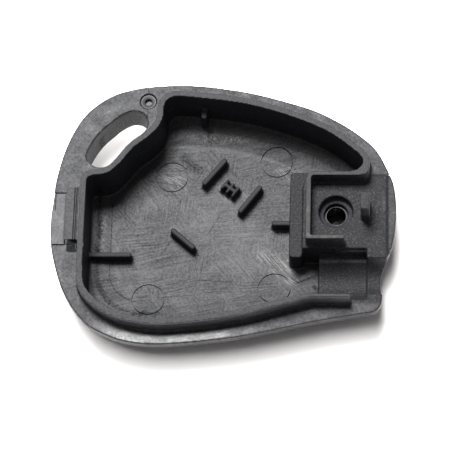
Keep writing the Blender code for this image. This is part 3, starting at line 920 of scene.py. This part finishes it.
@dataclass
class Sleeves:
    """Screw bush and ferrule."""

    shell: ShellHalf
    bush_drop: float = 0.8 * MM
    bush_inner: float = 1.54 * MM
    bush_foot: float = 1.9 * MM
    bush_rim_foot: float = 3.4 * MM
    bush_rim_top: float = 3.3 * MM
    bush_rim_rise: float = 0.12 * MM
    teeth: int = 30
    tooth: float = 0.035 * MM
    ferrule_drop: float = 0.25 * MM
    ferrule_foot: float = 4.0 * MM
    ferrule_outer: float = 2.4 * MM
    ferrule_hole: float = 1.2 * MM
    ferrule_hole_depth: float = 0.7 * MM
    funnel_foot: float = 1.15 * MM
    funnel_top: float = 2.2 * MM
    funnel_depth: float = 0.14 * MM

    def bush(self) -> Object:
        """Turned sleeve in the screw hole, its inner edge serrated."""
        x = self.shell.screw_x
        top = self.shell.platform - self.shell.counterbore_depth - self.bush_drop
        bush = round_solid("bush", (x, 0.0, self.bush_foot), (x, 0.0, top), self.shell.bore - 0.1 * MM)
        rim = round_solid("bush_rim", (x, 0.0, top - 0.3 * MM), (x, 0.0, top + self.bush_rim_rise),
                          self.bush_rim_foot, self.bush_rim_top)
        apply_tools(bush, Join.ADD, [rim])
        teeth = circle_ring((x, 0.0), self.bush_inner + 0.04 * MM, self.teeth, self.tooth)
        apply_tools(bush, Join.CUT, [
            outline_solid("bush_hole", circle_ring((x, 0.0), self.bush_inner), 0.0, top + OVERRUN),
            outline_solid("bush_teeth", teeth, top - 0.35 * MM, top + OVERRUN)])
        shade(bush, TURNED_ANGLE)
        return bush

    def ferrule(self) -> Object:
        """Ring in the locating socket, its top a shallow funnel."""
        x, y = self.shell.socket
        top = self.shell.rim - self.ferrule_drop
        ferrule = round_solid("ferrule", (x, y, self.ferrule_foot), (x, y, top), self.ferrule_outer)
        apply_tools(ferrule, Join.CUT, [
            round_solid("ferrule_hole", (x, y, top - self.ferrule_hole_depth), (x, y, top + OVERRUN),
                        self.ferrule_hole),
            round_solid("funnel", (x, y, top - self.funnel_depth), (x, y, top + 0.01 * MM),
                        self.funnel_foot, self.funnel_top)])
        shade(ferrule, TURNED_ANGLE)
        return ferrule


class Graph:
    """Short ways to add nodes to one node tree."""

    def __init__(self, tree: NodeTree) -> None:
        """Work on a tree.

        Args:
            tree: The node tree.
        """
        self.tree = tree

    def feed(self, socket: NodeSocket, value: object) -> None:
        """Link or set an input.

        Args:
            socket: The input.
            value: An output to link, or a plain value.
        """
        if isinstance(value, NodeSocket):
            self.tree.links.new(value, socket)
        else:
            socket.default_value = value

    def fill(self, node: Node, values: dict) -> None:
        """Feed inputs of a node.

        Args:
            node: The node.
            values: The inputs' values, by name or number.
        """
        for socket, value in values.items():
            self.feed(node.inputs[socket], value)

    def node(self, kind: str, values: dict | None = None, **settings: object) -> Node:
        """Add a node.

        Args:
            kind: Its type.
            values: Its inputs, by name or number.
            **settings: Its properties.

        Returns:
            The node.
        """
        made = self.tree.nodes.new(kind)
        for name, value in settings.items():
            setattr(made, name, value)
        self.fill(made, values or {})
        return made

    def math(self, operation: str, first: Value, second: Value = 0.0) -> NodeSocket:
        """One operation on two values."""
        return self.node("ShaderNodeMath", {0: first, 1: second}, operation=operation).outputs[0]

    def plus(self, first: Value, second: Value) -> NodeSocket:
        """Sum of two values."""
        return self.math("ADD", first, second)

    def less(self, first: Value, second: Value) -> NodeSocket:
        """First value less the second."""
        return self.math("SUBTRACT", first, second)

    def times(self, *factors: Value) -> Value:
        """Product of values."""
        product, *others = factors
        for factor in others:
            product = self.math("MULTIPLY", product, factor)
        return product

    def total(self, *parts: tuple[Value, Value]) -> Value:
        """Sum of values, each times its amount."""
        value: Value = 0.0
        for part, share in parts:
            value = self.plus(value, self.times(part, share))
        return value

    def ramp(self, value: Value, start: float, end: float, low: Value = 0.0,
             high: Value = 1.0) -> NodeSocket:
        """A smooth change from one value to another while the input goes from start to end."""
        inputs = {"Value": value, "From Min": start, "From Max": end, "To Min": low, "To Max": high}
        return self.node("ShaderNodeMapRange", inputs, interpolation_type="SMOOTHSTEP").outputs["Result"]

    def band(self, value: Value, low: float, high: float, soft: float) -> NodeSocket:
        """One between two limits and nothing outside them."""
        over = self.ramp(value, low - soft, low + soft)
        return self.times(over, self.ramp(value, high + soft, high - soft))

    def blend(self, factor: Value, first: Value, second: Value) -> NodeSocket:
        """A value that goes from the first to the second."""
        return self.ramp(factor, 0.0, 1.0, first, second)

    def noise(self, place: Value, scale: float, detail: float = 2.0,
              distortion: float = 0.0) -> NodeSocket:
        """Cloudy noise."""
        inputs = {"Vector": place, "Scale": scale, "Detail": detail, "Distortion": distortion}
        return self.node("ShaderNodeTexNoise", inputs).outputs[0]

    def spot(self, place: Value, middle: Point3, size: Point3, turn: float = 0.0) -> NodeSocket:
        """One in the middle of a round or long patch, falling to nothing at its edge."""
        near = self.stretched(place, turn, size, middle)
        away = self.node("ShaderNodeVectorMath", {0: near}, operation="LENGTH").outputs["Value"]
        return self.ramp(away, 1.0, 0.25)

    def patch(self, place: Value, x: float, y: float, length: float, width: float,
              turn: float) -> NodeSocket:
        """A round or long patch, the same at every height."""
        return self.spot(place, (x, y, 0.0), (length, width, 999.0), turn)

    def stretched(self, place: Value, turn: float, size: Point3,
                  middle: Point3 = (0.0, 0.0, 0.0)) -> NodeSocket:
        """A place turned and stretched, so that a texture on it is as long and wide as the size."""
        inputs = {"Vector": place, "Location": middle, "Rotation": (0.0, 0.0, math.radians(turn)),
                  "Scale": size}
        return self.node("ShaderNodeMapping", inputs, vector_type="TEXTURE").outputs[0]


def new_group(name: str, outputs: Sequence[str]) -> tuple[Graph, NodeSocket, Node]:
    """Start a node group that takes a place in millimetres and gives values.

    Args:
        name: Its name.
        outputs: Names of its outputs.

    Returns:
        The graph, the place and the node that takes the outputs.
    """
    tree = bpy.data.node_groups.new(name, "ShaderNodeTree")
    tree.interface.new_socket(name="Place", in_out="INPUT", socket_type="NodeSocketVector")
    for output in outputs:
        tree.interface.new_socket(name=output, in_out="OUTPUT", socket_type="NodeSocketFloat")
    graph = Graph(tree)
    return graph, graph.node("NodeGroupInput").outputs[0], graph.node("NodeGroupOutput")


def grain_group() -> NodeTree:
    """Eroded grain of a moulding tool: its height, the points rubbed light and a fine change of shine."""
    graph, place, out = new_group("eroded_grain", ("Height", "Speckle", "Fine"))
    coarse = graph.times(graph.noise(place, 1.7, 2.0), 0.4)
    graph.fill(out, {"Height": graph.plus(graph.noise(place, 4.6, 3.0), coarse),
                     "Speckle": graph.ramp(graph.noise(place, 4.3, 2.0), 0.52, 0.72),
                     "Fine": graph.ramp(graph.noise(place, 3.1, 2.0), 0.3, 0.7, -1.0, 1.0)})
    return graph.tree


def scratch_group() -> NodeTree:
    """Fine straight scratches that cross each other."""
    graph, place, out = new_group("fine_scratches", ("Scratch",))
    total: Value = 0.0
    for turn, length in ((38.0, 12.0), (-47.0, 10.0), (81.0, 14.0), (12.0, 12.0)):
        field = graph.noise(graph.stretched(place, turn, (length, 0.32, 1.0)), 1.0, 1.0)
        line = graph.ramp(graph.math("ABSOLUTE", graph.less(field, 0.56)), 0.02, 0.0)
        total = graph.math("MAXIMUM", total, line)
    sparse = graph.ramp(graph.noise(place, 0.45, 2.0), 0.42, 0.66)
    graph.fill(out, {"Scratch": graph.times(total, sparse)})
    return graph.tree


def tool_mark_group() -> NodeTree:
    """Marks of the cutter that made the mould's core: strokes of several ways, patches and hairlines."""
    graph, place, out = new_group("tool_marks", ("Stroke", "Patch", "Hairline"))
    ways = [graph.noise(graph.stretched(place, turn, (length, 0.15, 1.0)), 1.0, 2.0)
            for turn, length in ((4.0, 9.0), (-52.0, 6.0), (14.0, 8.0), (84.0, 7.0))]
    first = graph.ramp(graph.noise(place, 0.13, 1.0, 0.6), 0.46, 0.56)
    turned = graph.stretched(place, 70.0, (1.0, 1.4, 1.0))
    second = graph.ramp(graph.noise(turned, 0.17, 1.0, 0.9), 0.47, 0.55)
    stroke = graph.blend(second, graph.blend(first, ways[0], ways[1]), graph.blend(first, ways[2], ways[3]))
    broad = graph.noise(place, 0.16, 0.0, 1.6)
    edges = graph.plus(graph.ramp(broad, 0.50, 0.515), graph.ramp(broad, 0.58, 0.62))
    lines: Value = 0.0
    for turn, length in ((3.0, 30.0), (-9.0, 24.0), (57.0, 20.0), (-36.0, 16.0)):
        field = graph.noise(graph.stretched(place, turn, (length, 0.3, 1.0)), 1.0, 0.0)
        lines = graph.math("MAXIMUM", lines, graph.ramp(field, 0.73, 0.8))
    sparse = graph.ramp(graph.noise(place, 0.22, 1.0), 0.42, 0.62)
    graph.fill(out, {"Stroke": stroke, "Patch": edges, "Hairline": graph.times(lines, sparse)})
    return graph.tree


# Bright worked places of the floor in millimetres and degrees: slant, length and width of the strokes, then
# middle, half length, half width and turn of the place
GLINTS = ((-50.0, 5.0, 0.17, 10.4, 9.0, 3.4, 2.2, -30.0), (-50.0, 5.0, 0.17, 8.4, -6.6, 5.5, 3.0, -20.0),
          (-28.0, 3.0, 0.17, -8.5, 8.8, 3.0, 3.0, 0.0), (75.0, 0.6, 0.13, -1.5, 15.4, 8.5, 1.3, -3.0),
          (30.0, 0.5, 0.13, -19.7, -0.5, 0.8, 7.0, 0.0), (-35.0, 4.0, 0.15, 11.5, -9.2, 3.0, 1.6, 20.0))
# Other marks of the floor, and painted shade along the crease and at the channel's end: change of
# reflection, then middle, half length, half width and turn
FLOOR_MARKS_AND_PAINTED_SHADE = ((-0.45, -14.1, -1.6, 0.2, 0.2, 0.0), (-0.45, -11.3, -3.7, 0.2, 0.15, 0.0),
               (-0.5, -4.2, -5.1, 0.22, 0.2, 0.0), (-0.28, -1.8, 0.3, 4.8, 0.13, 60.0),
               (-0.25, 3.3, -0.26, 3.9, 0.12, 1.3), (-0.25, -12.1, -3.4, 2.4, 0.12, 7.0),
               # The last two on this line are painted shade: a dark line along the crease and a dark spot
               # at the channel's end
               (-0.45, 13.0, -9.4, 2.4, 0.22, 22.0), (-0.45, 14.6, -10.9, 0.9, 0.5, -40.0),
               (-0.3, -7.5, -12.2, 5.0, 0.13, 4.0), (-0.25, -1.0, -9.6, 6.0, 0.14, -3.0),
               (0.3, -13.0, -10.3, 2.6, 0.12, -50.0), (0.14, -2.0, 3.0, 9.0, 6.0, 20.0),
               (-0.2, -6.0, 11.0, 4.5, 1.3, -48.0), (0.16, 3.0, -4.0, 10.0, 6.0, -10.0))

# Yellowed wear on the tops of the seat's walls: share, then middle, half length, half width and turn
LIP_STAINS = ((0.6, 13.65, -1.2, 1.7, 0.45, 90.0), (1.0, 13.7, -5.2, 0.7, 0.55, 0.0),
              (0.45, 16.4, -5.55, 2.8, 0.4, 0.0))

# Levels in millimetres where one finish gives way to another
LIP_LEVEL = (9.3, 9.6)
POST_LEVEL = 10.2
SEAT_WALL_LEVEL = 8.6
SEAT_FOOT = 2.6
FLOOR_LEVEL = (5.6, 4.6)
FLOOR_FOOT = 0.9

# Painted shade at the latch pad's end, and a light streak at the post's foot that is a painted highlight on
# a worn edge: middle, half length, half width and turn
LATCH_SHADE = (-23.6, -5.9, 1.1, 1.5, 0.0)
SEAT_PAINTED_HIGHLIGHT = (25.5, 1.6, 2.4, 0.45, 90.0)


@dataclass(frozen=True)
class Finish:
    """Numbers of one kind of surface."""

    tone: float
    roughness: float
    grain: float


@dataclass(frozen=True)
class PlasticLook:
    """Black moulded plastic with a finish of its own for each region of the shell."""

    grain: NodeTree
    scratches: NodeTree
    marks: NodeTree
    satin: Finish = Finish(0.027, 0.50, 0.05)
    lip: Finish = Finish(0.022, 0.62, 0.5)
    seat: Finish = Finish(0.018, 0.68, 1.0)
    floor: Finish = Finish(0.023, 0.52, 0.05)
    bump: float = 0.03 * MM

    def start(self, name: str) -> tuple[Material, Graph, NodeSocket, Node]:
        """A material with its place in millimetres.

        Args:
            name: Name of the material.

        Returns:
            The material, its graph, the place and the shader.
        """
        made = bpy.data.materials.new(name)
        made.use_nodes = True
        graph = Graph(made.node_tree)
        spot = graph.node("ShaderNodeTexCoord").outputs["Object"]
        place = graph.node("ShaderNodeVectorMath", {0: spot, "Scale": 1.0 / MM}, operation="SCALE")
        return made, graph, place.outputs[0], made.node_tree.nodes["Principled BSDF"]

    def use(self, graph: Graph, tree: NodeTree, place: Value) -> bpy.types.bpy_prop_collection:
        """Outputs of a node group put into a material."""
        node = graph.node("ShaderNodeGroup", node_tree=tree)
        graph.feed(node.inputs["Place"], place)
        return node.outputs

    def finish(self, graph: Graph, shader: Node, tone: Value, roughness: Value, height: Value,
               gloss: Value = 0.5, stain: Value = 0.0) -> None:
        """Feed a shader.

        Args:
            graph: The material's graph.
            shader: The shader.
            tone: Grey tone.
            roughness: Its roughness.
            height: Height of the fine relief.
            gloss: Strength of reflection.
            stain: Share of the yellow stain.
        """
        parts = [graph.plus(graph.times(tone, share), graph.times(stain, warm))
                 for share, warm in ((0.98, 0.10), (1.0, 0.085), (1.2, 0.04))]
        colour = graph.node("ShaderNodeCombineColor", dict(enumerate(parts))).outputs[0]
        bump = graph.node("ShaderNodeBump", {"Height": height, "Distance": self.bump, "Strength": 1.0})
        graph.fill(shader, {"Base Color": colour, "Roughness": roughness, "Specular IOR Level": gloss,
                            "Normal": bump.outputs[0]})

    def regions(self, graph: Graph, x: Value, y: Value, z: Value) -> tuple[Value, Value, Value]:
        """Where the finishes of the seat, the lip and the floor lie, above the shell's back.

        Args:
            graph: The material's graph.
            x: Place along the shell in millimetres.
            y: Place across it.
            z: Height.

        Returns:
            How much of the seat's, the lip's and the floor's finish a place has.
        """
        side = graph.math("LESS_THAN", y, graph.ramp(x, 13.9, 14.1, 7.4, 6.2))
        west = graph.ramp(x, graph.ramp(y, -7.5, -7.4, 15.15, 10.2), graph.ramp(y, -7.5, -7.4, 15.35, 10.4))
        inside = graph.times(graph.math("LESS_THAN", z, SEAT_WALL_LEVEL),
                             graph.math("GREATER_THAN", z, SEAT_FOOT))
        seat = graph.times(side, graph.ramp(y, -16.0, -14.9), west, inside,
                           graph.ramp(x, 26.1, 25.9, 0.35, 1.0))
        low = graph.times(graph.ramp(z, *FLOOR_LEVEL), graph.less(1.0, seat),
                          graph.math("GREATER_THAN", z, FLOOR_FOOT))
        return seat, graph.ramp(z, *LIP_LEVEL), low

    def shell(self) -> Material:
        """Plastic of the moulding."""
        made, graph, place, shader = self.start("black_plastic")
        x, y, z = graph.node("ShaderNodeSeparateXYZ", {0: place}).outputs
        seat, on_lip, low = self.regions(graph, x, y, z)
        grain = self.use(graph, self.grain, place)
        scratch = self.use(graph, self.scratches, place)["Scratch"]
        marks = self.use(graph, self.marks, place)
        worn = graph.spot(place, (-10.0, -21.5, 6.9), (21.0, 4.6, 9.0), 4.0)
        cloud = graph.ramp(graph.noise(place, 0.3, 2.0, 0.5), 0.3, 0.7, -1.0, 1.0)
        fine = grain["Fine"]

        def by_region(satin: Value, lip: Value, seat_value: Value, floor: Value) -> NodeSocket:
            """One value for each region."""
            return graph.blend(seat, graph.blend(on_lip, graph.blend(low, satin, floor), lip), seat_value)

        glint, marks_and_painted_light = self.floor_patterns(graph, place, x, y)
        stroke = graph.ramp(marks["Stroke"], 0.3, 0.7, -1.0, 1.0)
        satin_rough = graph.total((self.satin.roughness, 1.0), (worn, -0.2), (cloud, -0.02))
        floor_rough = graph.total((self.floor.roughness, 1.0), (stroke, -0.01), (glint, -0.06))
        shade_at_latch = graph.patch(place, *LATCH_SHADE)
        # Painted shade: less reflection on the outer wall under the south rim, which faces away from the
        # lamp
        outside = graph.times(graph.ramp(y, -15.5, -17.0), graph.ramp(z, 6.8, 6.5))
        satin_gloss = graph.total((0.47, 1.0), (fine, 0.14), (scratch, 0.4), (cloud, 0.04),
                                  (shade_at_latch, -0.3), (outside, -0.22))
        # The floor's marks carry painted highlight and painted shade along its creases
        floor_gloss = graph.total((0.51, 1.0), (fine, 0.15), (stroke, 0.13), (marks["Patch"], 0.06),
                                  (glint, 0.4), (marks["Hairline"], -0.22), (marks_and_painted_light, 1.0))
        lip_gloss = graph.total((0.7, 1.0), (fine, 0.12), (grain["Speckle"], 0.2),
                                (graph.math("GREATER_THAN", z, POST_LEVEL), -0.2))
        # The seat takes a painted highlight on the worn edge at the post's foot
        seat_gloss = graph.total((0.48, 1.0), (fine, 0.13), (grain["Speckle"], 0.5),
                                 (graph.patch(place, *SEAT_PAINTED_HIGHLIGHT), 0.4))
        roughness = by_region(satin_rough, self.lip.roughness, self.seat.roughness, floor_rough)
        gloss = graph.math("MAXIMUM", by_region(satin_gloss, lip_gloss, seat_gloss, floor_gloss), 0.02)
        amount = by_region(self.satin.grain, self.lip.grain, self.seat.grain, self.floor.grain)
        tone = by_region(self.satin.tone, self.lip.tone, self.seat.tone, self.floor.tone)
        tone = graph.total((tone, 1.0), (graph.times(grain["Speckle"], amount), 0.02), (scratch, 0.012))
        height = graph.total((grain["Height"], amount), (graph.times(marks["Stroke"], low), 0.07))
        stain = graph.times(self.lip_stain(graph, place), on_lip)
        self.finish(graph, shader, tone, roughness, height, gloss, stain)
        return made

    def lip_stain(self, graph: Graph, place: Value) -> NodeSocket:
        """Blotchy yellow wear of the seat's walls."""
        stain: Value = 0.0
        for share, *spot in LIP_STAINS:
            stain = graph.math("MAXIMUM", stain, graph.times(graph.patch(place, *spot), share))
        return graph.times(stain, graph.ramp(graph.noise(place, 2.2, 2.0), 0.35, 0.6))

    def floor_patterns(self, graph: Graph, place: Value, x: Value, y: Value) -> tuple[Value, Value]:
        """Bright worked places of the floor, its lighter and darker marks, and painted highlight and shade
        along its creases.

        Args:
            graph: The material's graph.
            place: The place in millimetres.
            x: Its part along the shell.
            y: Its part across the shell.

        Returns:
            How bright a place is, and the change of reflection by the marks, the painted highlight and the
            painted shade.
        """
        glint: Value = 0.0
        for slant, length, width, *spot in GLINTS:
            pattern = graph.noise(graph.stretched(place, slant, (length, width, 1.0)), 1.0, 1.0)
            part = graph.times(graph.ramp(pattern, 0.5, 0.62), graph.patch(place, *spot))
            glint = graph.math("MAXIMUM", glint, part)
        marks_and_painted_light: Value = 0.0
        for change, *spot in FLOOR_MARKS_AND_PAINTED_SHADE:
            marks_and_painted_light = graph.plus(marks_and_painted_light, graph.times(graph.patch(place, *spot), change))
        # Painted highlight: a bright band along the north crease, where the floor turns up
        bow = graph.times(graph.math("POWER", graph.plus(x, 7.5), 2.0), 0.0113)
        back = graph.less(graph.plus(y, bow), 13.9)
        painted_crease_highlight = graph.times(graph.band(back, -0.15, 0.35, 0.25), graph.band(x, -9.0, 9.0, 1.5))
        west = graph.math("MAXIMUM", graph.less(-13.2, x), 0.0)
        south = graph.math("MAXIMUM", graph.less(-8.0, y), 0.0)
        square = graph.plus(graph.math("POWER", west, 2.0), graph.math("POWER", south, 2.0))
        out = graph.less(graph.math("SQRT", square), 5.25)
        # Painted shade: a darker band where the floor curves up to the west and south-west wall
        painted_bowl_shade = graph.times(graph.band(out, 1.6, 2.4, 0.35), graph.ramp(x, -8.0, -13.0))
        marks_and_painted_light = graph.plus(marks_and_painted_light, graph.times(painted_crease_highlight, 0.36))
        # Painted shade: a dark line along the crease at the west side, where the lamp casts none into the
        # groove
        line = graph.times(graph.band(out, -0.1, 0.06, 0.06), graph.ramp(y, 4.5, 3.5),
                           graph.ramp(x, -13.5, -15.0))
        painted_shade = graph.plus(graph.times(painted_bowl_shade, 0.32), graph.times(line, 0.3))
        return glint, graph.less(marks_and_painted_light, painted_shade)

    def grained(self, name: str, look: Finish) -> Material:
        """Plastic with the grain all over."""
        made, graph, place, shader = self.start(name)
        grain = self.use(graph, self.grain, place)
        tone = graph.plus(look.tone, graph.times(grain["Speckle"], 0.04 * look.grain))
        height = graph.times(grain["Height"], look.grain)
        self.finish(graph, shader, tone, look.roughness, height)
        return made

    def panel(self) -> Material:
        """Latch panel: a smooth facet outside and grain on the pad."""
        made, graph, place, shader = self.start("panel_plastic")
        x = graph.node("ShaderNodeSeparateXYZ", {0: place}).outputs[0]
        on_pad = graph.ramp(x, -25.6, -25.2)
        grain = self.use(graph, self.grain, place)
        scratch = self.use(graph, self.scratches, place)["Scratch"]
        amount = graph.times(on_pad, self.lip.grain)
        gloss = graph.plus(graph.blend(on_pad, 0.46, 0.44), graph.times(grain["Fine"], 0.08))
        gloss = graph.plus(gloss, graph.times(scratch, 0.3))
        roughness = graph.blend(on_pad, 0.44, self.satin.roughness)
        self.finish(graph, shader, self.satin.tone, roughness, graph.times(grain["Height"], amount), gloss)
        return made

    def steel(self) -> Material:
        """Turned steel of the bush, lighter on its rim's top than in the bore below."""
        made, graph, place, shader = self.start("bush_steel")
        z = graph.node("ShaderNodeSeparateXYZ", {0: place}).outputs[2]
        turned = graph.noise(graph.stretched(place, 0.0, (30.0, 30.0, 0.1)), 1.0, 2.0)
        bright = graph.ramp(z, 4.9, 5.06, 0.012, 0.04)
        self.finish(graph, shader, bright, graph.ramp(turned, 0.3, 0.7, 0.35, 0.55), turned, 0.2)
        shader.inputs["Metallic"].default_value = 0.6
        return made

    def for_pieces(self) -> dict[str, list[Material]]:
        """Materials of each piece, by the piece's name."""
        return {"shell_half": [self.shell(), self.grained("rib_plastic", Finish(0.024, 0.64, 0.5))],
                "latch_panel": [self.panel()], "bush": [self.steel()],
                "ferrule": [self.grained("ferrule_plastic", Finish(0.04, 0.42, 0.1))]}


@dataclass(frozen=True)
class Lamp:
    """A square lamp that points at the shell.

    Its azimuth is how far it stands left of the shell's back.
    """

    name: str
    elevation: float
    azimuth: float
    size: float
    watts: float


@dataclass
class Studio:
    """White table, soft light and the camera."""

    elevation: float = 66.5
    azimuth: float = 10.0
    distance: float = 400.0 * MM
    scale: float = 6.3
    frame_pixels: float = 450.0
    target: Point3 = (0.358 * MM, -2.265 * MM, 6.9 * MM)
    main_lamp: Lamp = Lamp("softbox", 64.8, 20.0, 300.0 * MM, 7.4)
    table_lamps: tuple[Lamp, ...] = (Lamp("table_softbox", 78.5, 76.0, 440.0 * MM, 8.0),
                                     Lamp("low_softbox", 40.0, 10.0, 400.0 * MM, 13.0))
    lamp_distance: float = 800.0 * MM
    room: float = 0.19
    table_tone: Point3 = (0.87, 0.845, 0.84)
    table_roughness: float = 0.9

    def camera(self) -> None:
        """Place the camera so that the shell's Y axis stands a little left of the picture's."""
        e, a = math.radians(self.elevation), math.radians(self.azimuth)
        back = Vector((math.sin(a) * math.cos(e), -math.cos(a) * math.cos(e), math.sin(e)))
        right = Vector((math.cos(a), math.sin(a), 0.0))
        up = back.cross(right)
        roll = math.atan(math.tan(a) * math.sin(e))
        side = right * math.cos(roll) - up * math.sin(roll)
        top = right * math.sin(roll) + up * math.cos(roll)
        data = bpy.data.cameras.new("photo_camera")
        data.sensor_width = 36.0
        data.lens = data.sensor_width * self.scale / MM * self.distance / self.frame_pixels
        data.clip_start = 0.01
        data.clip_end = 10.0
        camera = bpy.data.objects.new("photo_camera", data)
        bpy.context.scene.collection.objects.link(camera)
        turn = Matrix((side, top, back)).transposed().to_4x4()
        camera.matrix_world = Matrix.Translation(Vector(self.target) + back * self.distance) @ turn
        bpy.context.scene.camera = camera

    def table(self) -> None:
        """White table that keeps the shell's shadow, with the lamps that light only it."""
        deselect()
        bpy.ops.mesh.primitive_plane_add(size=4.0, location=(0.0, 0.0, -0.02 * MM))
        floor = bpy.context.object
        floor.name = "table"
        white = bpy.data.materials.new("table_white")
        white.use_nodes = True
        shader = white.node_tree.nodes["Principled BSDF"]
        shader.inputs["Base Color"].default_value = (*self.table_tone, 1.0)
        shader.inputs["Roughness"].default_value = self.table_roughness
        floor.data.materials.append(white)
        lit = bpy.data.collections.new("lit_table")
        lit.objects.link(floor)
        for lamp in self.table_lamps:
            self.hang(lamp).light_linking.receiver_collection = lit

    def lamps(self) -> None:
        """Softbox behind the shell and a dim white room."""
        world = bpy.data.worlds.new("room")
        world.use_nodes = True
        background = world.node_tree.nodes["Background"]
        background.inputs["Color"].default_value = (1.0, 1.0, 1.0, 1.0)
        background.inputs["Strength"].default_value = self.room
        bpy.context.scene.world = world
        self.hang(self.main_lamp)

    def hang(self, lamp: Lamp) -> Object:
        """Add a lamp to the scene.

        Args:
            lamp: Its numbers.

        Returns:
            The lamp.
        """
        data = bpy.data.lights.new(lamp.name, "AREA")
        data.energy = lamp.watts
        data.size = lamp.size
        hung = bpy.data.objects.new(lamp.name, data)
        e, a = math.radians(lamp.elevation), math.radians(lamp.azimuth)
        way = Vector((-math.sin(a) * math.cos(e), math.cos(a) * math.cos(e), math.sin(e)))
        hung.location = way * self.lamp_distance
        hung.rotation_mode = "QUATERNION"
        hung.rotation_quaternion = way.to_track_quat("Z", "Y")
        bpy.context.scene.collection.objects.link(hung)
        return hung


def dress(piece: Object, materials: dict[str, list[Material]], node: str) -> None:
    """Give a piece its materials and put it in a node's place.

    Args:
        piece: The piece.
        materials: Materials of each piece, by its name.
        node: The node that it replaces.
    """
    piece.data.materials.clear()
    for material in materials[piece.name]:
        piece.data.materials.append(material)
    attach(piece, "root")
    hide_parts(node)
    LOG.info("%s: %d faces", piece.name, len(piece.data.polygons))


def main() -> None:
    """Build the shell, its finishes and the studio."""
    logging.basicConfig(level=logging.INFO, format="%(name)s: %(message)s")
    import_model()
    form = ShellHalf(length=54.8 * MM, width=44.7 * MM)
    panel = LatchPanel(form)
    sleeves = Sleeves(form)
    look = PlasticLook(grain_group(), scratch_group(), tool_mark_group())
    shell = form.build(panel.pocket(), panel.sunk_wedge())
    materials = look.for_pieces()
    dress(shell, materials, "case_half")
    paint_faces(shell, 1, form.on_rib)
    dress(panel.build(), materials, "latch_insert")
    dress(sleeves.bush(), materials, "screw_bush")
    dress(sleeves.ferrule(), materials, "locating_ferrule")
    studio = Studio()
    studio.camera()
    studio.table()
    studio.lamps()
    bpy.context.scene.view_settings.view_transform = "Standard"


if __name__ == "__main__":
    main()
